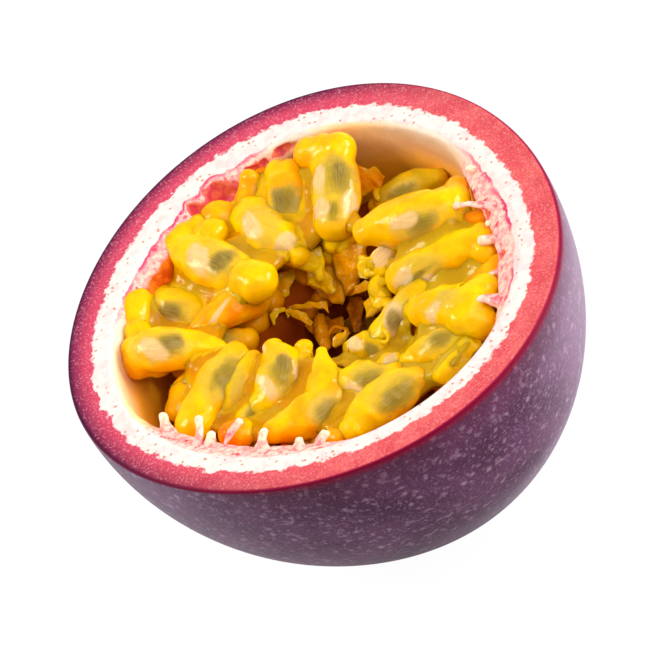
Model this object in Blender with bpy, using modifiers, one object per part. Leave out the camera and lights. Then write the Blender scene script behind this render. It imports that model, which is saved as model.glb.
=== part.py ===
"""Half of a purple passion fruit, standing on its rounded end with the cut face up.

Two solids: the rind, a thick-walled bowl with three placental ridges down its inside, and the
pulp, the heap of juice sacs that hangs from those ridges around an open middle. The heap is one
solid out to its uneven outline. Lengths are in millimetres and are turned into metres when a
mesh is made. Depths are measured down from the cut face as a "drop".
"""
import math
import random

import bmesh
import bpy
from mathutils import Vector

MM = 0.001

# Outside of the rind.
HEIGHT = 28.5               # flat spot to cut face
RIM_RADIUS = 25.0           # mean radius of the cut face
WIDEST_RADIUS = 25.05
WIDEST_DROP = 1.3
POLE_DROP = 29.05           # where the end would close if it had no flat spot
ROUNDNESS = 1.9             # exponent of the side's curve; 2 is an ellipse
RIM_BEVEL = 0.25            # rounding of the rim's outer edge

# Slow waves of the outline: (times round, cosine part, sine part), as shares of the radius.
OUTLINE_WAVES = ((2, -0.0341, -0.0123), (3, -0.0176, -0.0026), (4, 0.0009, 0.0018))

# Inside of the rind.
RIM_WALL = 4.7
POLE_WALL = 4.2
LIP_ROUNDING = 0.7          # rounding of the pith's inner edge
SWELL = 0.6                 # the wall is this much thicker on one side, and thinner on the other
SWELL_AZIMUTH = 75.0
SWELL_FULL_DROP = 8.0

# Placental ridges, which carry the sacs.
RIDGE_AZIMUTHS = (115.0, -20.0, -134.0)
RIDGE_HEIGHT = 2.2
RIDGE_HALF_WIDTH = 34.0     # degrees
RIDGE_FULL_DROP = 1.5
RIDGE_END_DROP = 20.0

# Pulp.
GAP = 0.45                  # clear space between the pulp and the rind
CORE_DROP = 6.2             # top of the packed mass that the sacs lie on
HOLLOW_FLOOR_DROP = 14.5
HOLLOW_FLOOR_RADIUS = 4.6
HOLLOW_MOUTH_RADIUS = 7.6
SAC_STAND = 2.0             # most that a sac may stand above the cut face
SAC_SIDES = 8
SAC_RINGS = 6
SAC_FULLNESS = 1.3          # how soon a sac's round ends reach its full width
SEED = 7

RIND_STEPS = 56
SIDE_ROWS = 9

# Upper sacs, each from head to tip through (azimuth, distance from the axis, drop, half width).
UPPER_SACS = (
    ((117, 19.0, 2.2, 1.6), (117, 17.0, 2.2, 2.0), (119, 13.8, 2.4, 2.2), (120, 9.6, 2.8, 1.7)),
    ((120, 8.9, 2.4, 1.7), (124, 6.4, 2.1, 1.8)),
    ((105, 19.4, 3.2, 1.3), (100, 14.5, 4.6, 1.4)),
    ((94, 17.3, 2.4, 1.4), (94, 14.8, 2.4, 2.0), (92, 11.4, 2.8, 2.1), (87, 8.2, 3.5, 1.3)),
    ((79, 19.0, 2.2, 1.6), (80, 16.4, 2.8, 2.0), (79, 12.8, 4.4, 1.5)),
    ((66, 19.0, 1.6, 2.3), (63, 16.5, 1.8, 2.4), (61, 13.3, 2.4, 2.5), (59, 10.9, 3.0, 2.2)),
    ((63, 13.4, 4.0, 1.9), (60, 9.6, 4.8, 1.5)),
    ((36, 17.6, 5.1, 1.2), (50, 15.4, 6.0, 1.3)),
    ((9, 15.8, 1.8, 1.7), (3, 14.0, 1.6, 2.2), (8, 11.1, 1.8, 2.4), (22, 8.5, 2.0, 1.5)),
    ((-17, 16.0, 2.6, 1.2), (-19, 10.8, 3.6, 1.9), (-19, 7.0, 4.4, 1.4)),
    ((18, 8.9, 5.0, 1.4), (36, 6.9, 5.5, 1.2)),
    ((-28, 10.4, 4.2, 1.4), (-46, 7.8, 4.5, 1.6), (-70, 6.1, 5.3, 1.1)),
    ((-44, 17.0, 2.4, 1.7), (-50, 16.2, 2.4, 2.3), (-51, 13.7, 2.8, 2.3), (-53, 11.8, 3.2, 1.8)),
    ((-60, 16.8, 3.6, 1.3), (-71, 12.6, 4.5, 1.2)),
    ((-66, 8.1, 5.2, 1.3), (-86, 5.4, 5.4, 1.2)),
    ((-85, 12.2, 4.3, 1.8), (-98, 10.1, 4.4, 1.6)),
    ((-76, 15.3, 3.8, 1.8), (-86, 15.0, 3.6, 2.3), (-95, 15.6, 3.4, 2.1), (-101, 16.9, 3.2, 1.4)),
    ((-129, 14.8, 3.2, 1.5), (-121, 13.2, 3.7, 2.0), (-113, 11.6, 3.9, 2.0), (-110, 8.4, 2.7, 1.0)),
    ((-135, 5.4, 3.6, 1.0), (-137, 8.4, 4.5, 1.4)),
    ((-156, 6.5, 2.5, 1.6), (-143, 8.6, 3.1, 2.1), (-144, 11.4, 4.2, 1.6)),
    ((-170, 8.6, 3.3, 1.1), (-162, 12.9, 4.4, 1.3)),
    ((178, 9.8, 3.0, 1.5), (-175, 12.6, 3.4, 1.9), (-166, 16.0, 4.0, 1.6)),
    ((157, 18.3, 2.0, 1.7), (160, 15.6, 2.2, 2.1), (163, 12.0, 3.3, 1.3)),
    ((133, 19.4, 3.4, 1.4), (137, 15.0, 4.5, 1.7)),
    ((151, 13.9, 3.6, 1.1), (134, 10.7, 3.8, 1.6), (123, 9.9, 4.5, 1.4)),
    ((168, 14.0, 5.2, 1.2), (177, 16.4, 5.4, 1.2)),
    ((-144, 16.2, 3.3, 1.5), (-147, 13.2, 4.6, 1.3)),
)

# Sacs below them, in rings:
# (count, first azimuth, head distance, tip distance, drop, half width).
LOWER_RINGS = (
    (16, 10.0, 15.6, 9.4, 6.0, 2.2),
    (11, 0.0, 12.0, 6.9, 9.6, 2.0),
)


def outline(azimuth):
    """Radius at an azimuth in radians, as a share of the mean radius."""
    waves = (c * math.cos(n * azimuth) + s * math.sin(n * azimuth) for n, c, s in OUTLINE_WAVES)
    return 1.0 + sum(waves)


def axis_shift():
    """Place of the fruit's axis when the middle of its outline is at the origin."""
    azimuths = [2 * math.pi * step / RIND_STEPS for step in range(RIND_STEPS)]
    xs = [WIDEST_RADIUS * outline(a) * math.cos(a) for a in azimuths]
    ys = [WIDEST_RADIUS * outline(a) * math.sin(a) for a in azimuths]
    return Vector((-(min(xs) + max(xs)) / 2, -(min(ys) + max(ys)) / 2, 0.0))


AXIS = axis_shift()


def closing_radius(radius, depth, whole_depth):
    """Radius of a rounded end that narrows from radius to nothing over whole_depth."""
    share = min(max(depth / whole_depth, 0.0), 1.0)
    return radius * (1.0 - share ** ROUNDNESS) ** (1.0 / ROUNDNESS)


def outer_radius(drop):
    if drop < WIDEST_DROP:
        swell = 1.0 - ((WIDEST_DROP - drop) / WIDEST_DROP) ** 2
        return RIM_RADIUS + (WIDEST_RADIUS - RIM_RADIUS) * swell
    return closing_radius(WIDEST_RADIUS, drop - WIDEST_DROP, POLE_DROP - WIDEST_DROP)


def inner_radius(drop):
    return closing_radius(RIM_RADIUS - RIM_WALL, drop, POLE_DROP - POLE_WALL)


def smooth_step(low, high, value):
    share = min(max((value - low) / (high - low), 0.0), 1.0)
    return share * share * (3.0 - 2.0 * share)


def ridge_height(azimuth, drop):
    """How far the placental ridges stand out from the inner wall."""
    rise = smooth_step(0.0, RIDGE_FULL_DROP, drop)
    fall = 1.0 - smooth_step(RIDGE_END_DROP - 6.0, RIDGE_END_DROP, drop)
    height = 0.0
    for centre in RIDGE_AZIMUTHS:
        apart = (math.degrees(azimuth) - centre + 180.0) % 360.0 - 180.0
        height += math.exp(-(apart / RIDGE_HALF_WIDTH) ** 4)
    return RIDGE_HEIGHT * min(height, 1.0) * rise * fall


def wall_swell(azimuth, drop):
    """How much thicker the wall is here than its mean."""
    lean = math.cos(azimuth - math.radians(SWELL_AZIMUTH))
    return SWELL * lean * (1.0 - smooth_step(SWELL_FULL_DROP, RIDGE_END_DROP, drop))


def place(azimuth, radius, drop):
    """Point in metres at an azimuth in radians, a distance from the fruit's axis and a drop."""
    flat = Vector((radius * math.cos(azimuth), radius * math.sin(azimuth), HEIGHT - drop))
    return (flat + AXIS) * MM


def make_material(name, colour, roughness):
    material = bpy.data.materials.new(name)
    material.use_nodes = True
    shader = material.node_tree.nodes["Principled BSDF"]
    shader.inputs["Base Color"].default_value = (*colour, 1.0)
    shader.inputs["Roughness"].default_value = roughness
    shader.inputs["Metallic"].default_value = 0.0
    return material


def new_object(name, mesh, collection):
    thing = bpy.data.objects.new(name, mesh)
    collection.objects.link(thing)
    return thing


def apply_modifiers(thing):
    """Replace an object's mesh by its evaluated one."""
    depsgraph = bpy.context.evaluated_depsgraph_get()
    mesh = bpy.data.meshes.new_from_object(thing.evaluated_get(depsgraph))
    thing.modifiers.clear()
    thing.data = mesh


def keep_outer_skin(mesh):
    """Fill the pockets shut in between pieces: keep only the largest connected set of faces."""
    skin = bmesh.new()
    skin.from_mesh(mesh)
    waiting = set(skin.faces)
    patches = []
    while waiting:
        patch = set()
        front = [waiting.pop()]
        while front:
            face = front.pop()
            patch.add(face)
            near = {other for edge in face.edges for other in edge.link_faces} & waiting
            waiting -= near
            front.extend(near)
        patches.append(patch)
    largest = max(patches, key=len)
    extra = [face for face in skin.faces if face not in largest]
    bmesh.ops.delete(skin, geom=extra, context="FACES")
    skin.to_mesh(mesh)
    skin.free()


def turned_object(name, profile, collection):
    """Turn a (radius, drop) profile, which starts and ends on the axis, about +Z."""
    mesh = bpy.data.meshes.new(name)
    points = [Vector((radius, 0.0, HEIGHT - drop)) * MM for radius, drop in profile]
    edges = [(i, i + 1) for i in range(len(points) - 1)]
    mesh.from_pydata(points, edges, [])
    thing = new_object(name, mesh, collection)
    screw = thing.modifiers.new("turn", "SCREW")
    screw.steps = RIND_STEPS
    screw.render_steps = RIND_STEPS
    screw.use_merge_vertices = True
    screw.merge_threshold = 0.00001
    apply_modifiers(thing)
    return thing


def rounded_rows(count, last):
    """Drops that crowd together towards the end, where the surface turns under."""
    return [last * math.sin(0.5 * math.pi * row / count) for row in range(1, count + 1)]


def wall_drops(floor):
    """Drops down the inner wall, close together where the ridges swell out under the lip."""
    near_lip = [share * RIDGE_FULL_DROP for share in (0.7, 1.0, 2.0)]
    return near_lip + [drop for drop in rounded_rows(SIDE_ROWS, floor) if drop > near_lip[-1]]


def rind_profile():
    inner_floor = POLE_DROP - POLE_WALL
    inner = [(inner_radius(drop), drop) for drop in reversed(wall_drops(inner_floor))]
    inner[0] = (0.0, inner_floor)
    lip_radius = inner_radius(0.0)
    for turn in (0.0, 45.0, 90.0):
        angle = math.radians(turn)
        inner.append((lip_radius + LIP_ROUNDING * (1.0 - math.cos(angle)),
                      LIP_ROUNDING * (1.0 - math.sin(angle))))
    rim = [((RIM_RADIUS + lip_radius) / 2, 0.0), (RIM_RADIUS - RIM_BEVEL, 0.0)]
    sides = [RIM_BEVEL] + [drop for drop in rounded_rows(SIDE_ROWS, HEIGHT) if drop > WIDEST_DROP]
    outer = [(outer_radius(drop), drop) for drop in sides]
    return inner + rim + outer + [(0.0, HEIGHT)]


def make_rind(collection):
    rind = turned_object("rind", rind_profile(), collection)
    for vertex in rind.data.vertices:
        azimuth = math.atan2(vertex.co.y, vertex.co.x)
        radius = math.hypot(vertex.co.x, vertex.co.y) / MM
        drop = HEIGHT - vertex.co.z / MM
        inner, outer = inner_radius(drop), outer_radius(drop)
        inward = min(max((outer - radius) / max(outer - inner, 0.1), 0.0), 1.0)
        step_in = ridge_height(azimuth, drop) + wall_swell(azimuth, drop)
        radius = radius * outline(azimuth) - inward * step_in
        vertex.co = place(azimuth, max(radius, 0.0), drop)
    rind.data.shade_smooth()
    rind.data.set_sharp_from_angle(angle=math.radians(50.0))
    rind.data.materials.append(make_material("purple rind", (0.13, 0.07, 0.14), 0.5))
    return rind


def core_profile():
    """The packed mass under the upper sacs, with the hollow in its middle."""
    floor = POLE_DROP - POLE_WALL - 0.5 * GAP
    drops = [drop for drop in rounded_rows(SIDE_ROWS, floor) if drop > CORE_DROP]
    side = [(inner_radius(drop), drop) for drop in drops]
    side[-1] = (0.0, floor)
    hollow = [(0.0, HOLLOW_FLOOR_DROP),
              (HOLLOW_FLOOR_RADIUS, HOLLOW_FLOOR_DROP - 0.6),
              (HOLLOW_MOUTH_RADIUS, CORE_DROP + 2.0),
              (HOLLOW_MOUTH_RADIUS + 1.6, CORE_DROP)]
    return hollow + [(inner_radius(CORE_DROP), CORE_DROP)] + side


def room_profile():
    """The space inside the rind that the pulp may fill, with its clear gap already taken off."""
    floor = POLE_DROP - POLE_WALL - GAP
    side = [(inner_radius(drop + 0.5 * GAP) - GAP, drop) for drop in wall_drops(floor)]
    side[-1] = (0.0, floor)
    top = inner_radius(0.0) - GAP
    return [(0.0, -SAC_STAND), (top, -SAC_STAND), (top, 0.0)] + side


def shape_to_outline(thing):
    """Give a turned body the fruit's outline, and draw its side in where the wall is thicker."""
    for vertex in thing.data.vertices:
        azimuth = math.atan2(vertex.co.y, vertex.co.x)
        radius = math.hypot(vertex.co.x, vertex.co.y) / MM
        drop = HEIGHT - vertex.co.z / MM
        at_side = smooth_step(0.6, 0.9, radius / max(inner_radius(max(drop, 0.0)), 0.1))
        step_in = ridge_height(azimuth, drop) + wall_swell(azimuth, drop)
        radius = radius * outline(azimuth) - at_side * step_in
        vertex.co = place(azimuth, max(radius, 0.0), drop)


def along_path(path, share):
    """(point, half width) at a share of the way through a path's evenly counted stations."""
    step = min(share, 0.9999) * (len(path) - 1)
    first = int(step)
    point, width = path[first]
    next_point, next_width = path[first + 1]
    return point.lerp(next_point, step - first), width + (next_width - width) * (step - first)


def make_sac(name, stations, collection):
    """A rounded bag along stations of (azimuth, distance, drop, half width)."""
    path = [(place(math.radians(a), distance, drop), width * MM) for a, distance, drop, width in stations]
    mesh = bpy.data.meshes.new(name)
    bag = bmesh.new()
    rings = SAC_RINGS + len(stations) - 2
    bmesh.ops.create_uvsphere(bag, u_segments=SAC_SIDES, v_segments=rings, radius=1.0)
    for vertex in bag.verts:
        share = smooth_step(-0.7, 0.7, -vertex.co.z)
        point, width = along_path(path, share)
        before, after = along_path(path, max(share - 0.2, 0.0)), along_path(path, min(share + 0.2, 1.0))
        turn = (before[0] - after[0]).to_track_quat("Z", "Y")
        fuller = min(SAC_FULLNESS, 1.0 / max(vertex.co.xy.length, 0.01))
        bulge = Vector((vertex.co.x * fuller, vertex.co.y * fuller, vertex.co.z))
        vertex.co = point + turn @ (bulge * width)
    bag.to_mesh(mesh)
    bag.free()
    new_object(name, mesh, collection)


def make_lower_sacs(collection):
    chance = random.Random(SEED)
    for ring, (count, first, head_radius, tip_radius, drop, half_width) in enumerate(LOWER_RINGS):
        for number in range(count):
            azimuth = first + 360.0 * (number + chance.uniform(-0.25, 0.25)) / count
            sway = chance.uniform(-12.0, 12.0)
            dip = chance.uniform(-0.7, 0.7)
            width = half_width * chance.uniform(0.9, 1.1)
            stations = ((azimuth, head_radius, drop + dip, width),
                        (azimuth + sway, tip_radius, drop - dip, width * 0.9))
            make_sac(f"lower sac {ring}.{number}", stations, collection)


def make_pulp(collection, cutters):
    pulp = turned_object("pulp", core_profile(), collection)
    shape_to_outline(pulp)
    sacs = bpy.data.collections.new("sacs")
    cutters.children.link(sacs)
    for number, stations in enumerate(UPPER_SACS):
        make_sac(f"upper sac {number}", stations, sacs)
    make_lower_sacs(sacs)
    room = turned_object("room", room_profile(), cutters)
    shape_to_outline(room)
    for guide in list(sacs.objects) + [room]:
        guide.hide_render = True
        guide.display_type = "WIRE"
    heap = pulp.modifiers.new("heap", "BOOLEAN")
    heap.operation = "UNION"
    heap.operand_type = "COLLECTION"
    heap.collection = sacs
    heap.solver = "EXACT"
    fit = pulp.modifiers.new("fit in the rind", "BOOLEAN")
    fit.operation = "INTERSECT"
    fit.object = room
    fit.solver = "EXACT"
    apply_modifiers(pulp)
    keep_outer_skin(pulp.data)
    pulp.data.materials.append(make_material("yellow pulp", (0.95, 0.55, 0.02), 0.25))
    return pulp


def main():
    for old in list(bpy.data.objects):
        bpy.data.objects.remove(old, do_unlink=True)
    collection = bpy.data.collections.new("passion fruit half")
    bpy.context.scene.collection.children.link(collection)
    cutters = bpy.data.collections.new("cutters")
    bpy.context.scene.collection.children.link(cutters)
    make_rind(collection)
    make_pulp(collection, cutters)


main()
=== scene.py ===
"""Looks of the passion fruit half: rind, juice sacs with their seeds, stalks and the dark middle.

Lengths are in millimetres until a mesh is made. A place is given round the fruit's axis as an
azimuth in degrees, a distance from the axis and a drop below the cut face.
"""
import math
import random

import bpy
import numpy as np
from mathutils import Matrix, Vector, noise


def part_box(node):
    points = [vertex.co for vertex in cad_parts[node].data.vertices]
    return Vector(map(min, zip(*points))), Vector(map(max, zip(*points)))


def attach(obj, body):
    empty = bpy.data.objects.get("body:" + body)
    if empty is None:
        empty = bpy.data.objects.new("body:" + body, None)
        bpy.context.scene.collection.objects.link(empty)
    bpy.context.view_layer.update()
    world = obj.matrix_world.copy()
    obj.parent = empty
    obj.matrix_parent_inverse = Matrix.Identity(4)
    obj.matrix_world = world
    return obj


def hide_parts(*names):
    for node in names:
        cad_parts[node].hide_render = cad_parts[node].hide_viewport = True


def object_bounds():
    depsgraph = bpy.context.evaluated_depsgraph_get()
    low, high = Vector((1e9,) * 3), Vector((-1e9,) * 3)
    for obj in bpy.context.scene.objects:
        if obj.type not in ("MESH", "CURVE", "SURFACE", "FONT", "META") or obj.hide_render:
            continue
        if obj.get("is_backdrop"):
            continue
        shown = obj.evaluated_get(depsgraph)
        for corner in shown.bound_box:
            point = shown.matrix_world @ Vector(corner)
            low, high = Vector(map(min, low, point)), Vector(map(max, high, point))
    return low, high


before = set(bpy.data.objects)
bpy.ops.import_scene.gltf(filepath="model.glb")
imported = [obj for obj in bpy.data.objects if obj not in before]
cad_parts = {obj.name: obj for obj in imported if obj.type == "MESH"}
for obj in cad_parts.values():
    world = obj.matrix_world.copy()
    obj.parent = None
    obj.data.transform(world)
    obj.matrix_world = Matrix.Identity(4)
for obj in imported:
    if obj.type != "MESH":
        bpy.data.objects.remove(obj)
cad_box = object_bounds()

MM = 0.001
TAU = 2.0 * math.pi
QUARTER = 0.5 * math.pi

# The rind, as in the solids.
RIM_RADIUS = 25.0
WIDEST_RADIUS = 25.05
WIDEST_DROP = 1.3
POLE_DROP = 29.05
ROUNDNESS = 1.9
OUTLINE_WAVES = ((2, -0.0341, -0.0123), (3, -0.0176, -0.0026), (4, 0.0009, 0.0018))
RIM_WALL = 4.7
POLE_WALL = 4.2
RIM_BEVEL = 0.3
LIP_ROUNDING = 0.7
SWELL = 0.6
SWELL_AZIMUTH = 75.0
SWELL_FULL_DROP = 8.0
RIDGE_AZIMUTHS = (115.0, -20.0, -134.0)
RIDGE_HEIGHT = 2.2
RIDGE_HALF_WIDTH = 34.0
RIDGE_FULL_DROP = 1.5
RIDGE_FALL_DROP = 14.0
RIDGE_END_DROP = 20.0
LIP_RADIUS = RIM_RADIUS - RIM_WALL
FLOOR_DROP = POLE_DROP - POLE_WALL          # the bottom of the bowl's inner wall
MIDDLE_DROP = 12.0          # of the point that the rind's and the core's bumps face away from

RIM_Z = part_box("rind")[1].z / MM
HEIGHT = RIM_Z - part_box("rind")[0].z / MM


def outline(azimuth):
    """Radius at an azimuth in radians, as a share of the mean radius."""
    return 1.0 + sum(c * np.cos(n * azimuth) + s * np.sin(n * azimuth) for n, c, s in OUTLINE_WAVES)


def axis_place():
    """Where the fruit's axis stands when the middle of its outline is at the origin."""
    turn = np.linspace(0.0, TAU, 721)
    x = WIDEST_RADIUS * outline(turn) * np.cos(turn)
    y = WIDEST_RADIUS * outline(turn) * np.sin(turn)
    return np.array([-(x.min() + x.max()) / 2.0, -(y.min() + y.max()) / 2.0])


AXIS = axis_place()


def closing_radius(radius, depth, whole_depth):
    share = np.clip(np.asarray(depth, float) / whole_depth, 0.0, 1.0)
    return radius * (1.0 - share ** ROUNDNESS) ** (1.0 / ROUNDNESS)


def outer_radius(drop):
    drop = np.asarray(drop, float)
    swell = 1.0 - (np.clip(WIDEST_DROP - drop, 0.0, None) / WIDEST_DROP) ** 2
    near_rim = RIM_RADIUS + (WIDEST_RADIUS - RIM_RADIUS) * swell
    return np.where(drop < WIDEST_DROP, near_rim,
                    closing_radius(WIDEST_RADIUS, drop - WIDEST_DROP, POLE_DROP - WIDEST_DROP))


def inner_radius(drop):
    return closing_radius(LIP_RADIUS, drop, FLOOR_DROP)


def smooth_step(low, high, value):
    share = np.clip((np.asarray(value, float) - low) / (high - low), 0.0, 1.0)
    return share * share * (3.0 - 2.0 * share)


def degrees_apart(azimuth, centre):
    """Angle in degrees from a centre to an azimuth in degrees, between -180 and 180."""
    return (np.asarray(azimuth, float) - centre + 180.0) % 360.0 - 180.0


def near(azimuth, centre, wide, power=2):
    """1 at a centre, falling to 0 with the degrees from it; a higher power is flatter on top."""
    return np.exp(-(degrees_apart(azimuth, centre) / wide) ** power)


def facing(azimuth, centre):
    """1 at a centre and 0 on the far side of the fruit."""
    return 0.5 + 0.5 * np.cos(np.radians(degrees_apart(azimuth, centre)))


def ridge_share(azimuth):
    """1 on a placental ridge and 0 between ridges, at an azimuth in degrees."""
    return np.minimum(sum(near(azimuth, c, RIDGE_HALF_WIDTH, 4) for c in RIDGE_AZIMUTHS), 1.0)


def wall_step(azimuth, drop):
    """How far the inner wall stands in from its turned shape: ridges and one thicker side."""
    rise = smooth_step(0.0, RIDGE_FULL_DROP, drop)
    fall = 1.0 - smooth_step(RIDGE_FALL_DROP, RIDGE_END_DROP, drop)
    lean = np.cos(np.radians(azimuth - SWELL_AZIMUTH))
    swell = SWELL * lean * (1.0 - smooth_step(SWELL_FULL_DROP, RIDGE_END_DROP, drop))
    return RIDGE_HEIGHT * ridge_share(azimuth) * rise * fall + swell


def place(azimuth, distance, drop):
    """Point in millimetres, in the frame, at an azimuth in degrees."""
    turn = np.radians(azimuth)
    x = AXIS[0] + distance * np.cos(turn)
    y = AXIS[1] + distance * np.sin(turn)
    return np.stack(np.broadcast_arrays(x, y, RIM_Z - np.asarray(drop, float)), -1)


MIDDLE = place(0.0, 0.0, MIDDLE_DROP)


def ripple(points, size, seed):
    """Smooth noise between -1 and 1 at points in millimetres, with lumps of about a size."""
    shift = Vector((seed * 7.3, seed * 3.1, seed * 5.7))
    flat = points.reshape(-1, 3) / size
    values = [noise.noise(Vector(point) + shift) for point in flat]
    return np.array(values).reshape(points.shape[:-1])


def folds_at(points, size, seed):
    """1 along thin wandering lines, and less the farther from them."""
    return 1.0 - 2.2 * np.abs(ripple(points, size, seed))


# ---------------------------------------------------------------- meshes

def new_piece(name, points, faces, material, values):
    """A smooth mesh piece that rides on the root, with one named number for each point."""
    mesh = bpy.data.meshes.new(name)
    mesh.from_pydata((points * MM).tolist(), [], faces)
    mesh.validate()
    for label, numbers in values.items():
        attribute = mesh.attributes.new(label, "FLOAT", "POINT")
        attribute.data.foreach_set("value", np.ascontiguousarray(numbers, np.float32).ravel())
    mesh.shade_smooth()
    mesh.materials.append(material)
    piece = bpy.data.objects.new(name, mesh)
    bpy.context.scene.collection.objects.link(piece)
    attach(piece, "root")
    return piece


def tube_faces(rows, columns, first=0):
    """Quads between rows of points that close round, each row the next ring outward."""
    row = np.arange(rows - 1)[:, None] * columns
    column = np.arange(columns)[None, :]
    after = (column + 1) % columns
    quads = np.stack([row + column, row + after, row + columns + after, row + columns + column], -1)
    return quads.reshape(-1, 4) + first


class Heap:
    """Collects many closed tubes into one mesh, with the same named numbers on each."""

    def __init__(self):
        self.points, self.faces, self.values, self.count = [], [], {}, 0

    def add(self, rings, **values):
        """rings is rows by columns by 3; the first and last rows shut to a point each."""
        rows, columns = rings.shape[:2]
        self.points += [rings.reshape(-1, 3), rings[:1].mean(1), rings[-1:].mean(1)]
        self.faces += tube_faces(rows, columns, self.count).tolist()
        column = np.arange(columns)
        after = (column + 1) % columns
        head = self.count + rows * columns
        for end, first, sides in ((head, self.count, (after, column)),
                                  (head + 1, head - columns, (column, after))):
            self.faces += np.stack([column * 0 + end] + [side + first for side in sides], -1).tolist()
        for label, numbers in values.items():
            numbers = np.broadcast_to(numbers, (rows, columns))
            both = [numbers.reshape(-1), [numbers[0].mean(), numbers[-1].mean()]]
            self.values.setdefault(label, []).append(np.concatenate(both))
        self.count = head + 2

    def make(self, name, material, slot):
        values = {label: np.concatenate(parts) for label, parts in self.values.items()}
        return new_piece(name, np.concatenate(self.points), self.faces, material, values)


def spine_points(stations, count):
    """Smooth line through stations, each a row of numbers, at count even steps."""
    rows = np.asarray(stations, float)
    last = len(rows) - 1
    out = []
    for step in np.linspace(0.0, last, count):
        i = min(int(step), last - 1)
        u = step - i
        a, b, c, d = rows[max(i - 1, 0)], rows[i], rows[i + 1], rows[min(i + 2, last)]
        out.append(0.5 * (2 * b + (c - a) * u + (2 * a - 5 * b + 4 * c - d) * u * u
                          + (3 * b - a - 3 * c + d) * u ** 3))
    return np.array(out)


def unit_vectors(vectors):
    return vectors / np.linalg.norm(vectors, axis=-1, keepdims=True)


def crosswise(line, up=(0.0, 0.0, 1.0)):
    """Sideways and upward unit directions at the points of a line."""
    along = unit_vectors(np.gradient(line, axis=0))
    side = unit_vectors(np.cross(np.broadcast_to(np.asarray(up, float), along.shape), along))
    return side, np.cross(along, side)


# ---------------------------------------------------------------- material helpers

def tint(colour):
    """Shader colour of an sRGB colour given as 0 to 255; a node's output stays as it is."""
    if isinstance(colour, bpy.types.NodeSocket):
        return colour
    shares = [value / 255.0 for value in colour]
    return [s / 12.92 if s <= 0.04045 else ((s + 0.055) / 1.055) ** 2.4 for s in shares] + [1.0]


class Nodes:
    """Short ways to build a node material. Colours are 0 to 255 and sizes in millimetres."""

    def __init__(self, name):
        self.material = bpy.data.materials.new(name)
        self.material.use_nodes = True
        self.tree = self.material.node_tree
        self.shader = self.tree.nodes["Principled BSDF"]

    def put(self, kind, inputs=(), **settings):
        """A new node with its settings, and with its inputs joined or set by name or number."""
        node = self.tree.nodes.new(kind)
        for key, value in settings.items():
            setattr(node, key, value)
        for key, value in dict(inputs).items():
            self.wire(value, node.inputs[key])
        return node

    def wire(self, source, target):
        """Join an output, or set a plain value, to an input."""
        if isinstance(source, bpy.types.NodeSocket):
            self.tree.links.new(source, target)
        else:
            target.default_value = source

    def set(self, **inputs):
        for key, value in inputs.items():
            self.wire(value, self.shader.inputs[key.replace("_", " ")])

    def inner_light(self, weight, radius, depth):
        """Light scattered inside, by shares of a depth for red, green and blue."""
        self.shader.inputs["Subsurface Weight"].default_value = weight
        self.shader.inputs["Subsurface Radius"].default_value = radius
        self.shader.inputs["Subsurface Scale"].default_value = depth * MM

    def value(self, label):
        return self.put("ShaderNodeAttribute", attribute_name=label).outputs["Fac"]

    def place(self):
        return self.put("ShaderNodeTexCoord").outputs["Object"]

    def math(self, operation, *values):
        return self.put("ShaderNodeMath", enumerate(values), operation=operation).outputs[0]

    def plus(self, a, b):
        return self.math("ADD", a, b)

    def minus(self, a, b):
        return self.math("SUBTRACT", a, b)

    def times(self, a, b):
        return self.math("MULTIPLY", a, b)

    def spread(self, source, low, high, new_low=0.0, new_high=1.0):
        """Smoothly map low..high to new_low..new_high."""
        values = enumerate((source, low, high, new_low, new_high))
        return self.put("ShaderNodeMapRange", values, interpolation_type="SMOOTHSTEP").outputs[0]

    def scaled(self, size, stretch=(1.0, 1.0, 1.0), where=None):
        scale = [1.0 / (size * MM * s) for s in stretch]
        return self.put("ShaderNodeMapping", {"Vector": where or self.place(), "Scale": scale}).outputs[0]

    def noise(self, size, detail=2.0, stretch=(1.0, 1.0, 1.0)):
        """Noise between 0 and 1 with lumps of a size."""
        inputs = {"Vector": self.scaled(size, stretch), "Scale": 1.0, "Detail": detail}
        return self.put("ShaderNodeTexNoise", inputs).outputs["Fac"]

    def sway(self, size, detail, reach):
        """Noise that swings about 0, over a reach from its lowest to its highest."""
        return self.times(self.minus(self.noise(size, detail), 0.5), reach)

    def creases(self, size):
        """1 along thin wandering lines and 0 between them."""
        return self.spread(self.math("ABSOLUTE", self.sway(size, 1.0, 1.0)), 0.1, 0.0)

    def cells(self, size, stretch=(1.0, 1.0, 1.0), where=None):
        """Distance from the nearest of many scattered middles, and a random share for each."""
        inputs = {"Vector": self.scaled(size, stretch, where), "Scale": 1.0}
        node = self.put("ShaderNodeTexVoronoi", inputs, feature="F1")
        chance = self.put("ShaderNodeSeparateColor", {0: node.outputs["Color"]})
        return node.outputs["Distance"], chance.outputs[0]

    def mix(self, share, a, b):
        inputs = {0: share, 6: tint(a), 7: tint(b)}
        return self.put("ShaderNodeMix", inputs, data_type="RGBA", blend_type="MIX").outputs[2]

    def fade(self, a, b, source, low, high, new_low=0.0, new_high=1.0):
        """Colour a giving way to b as a source runs from low to high."""
        return self.mix(self.spread(source, low, high, new_low, new_high), a, b)

    def ramp(self, source, stops):
        node = self.put("ShaderNodeValToRGB", {0: source})
        elements = node.color_ramp.elements
        while len(elements) < len(stops):
            elements.new(0.5)
        for element, (position, colour) in zip(elements, stops):
            element.position = position
            element.color = tint(colour)
        return node.outputs[0]

    def bump(self, height, depth, strength):
        inputs = {"Strength": strength, "Distance": depth * MM, "Height": height}
        return self.put("ShaderNodeBump", inputs).outputs[0]


# ---------------------------------------------------------------- materials

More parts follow.
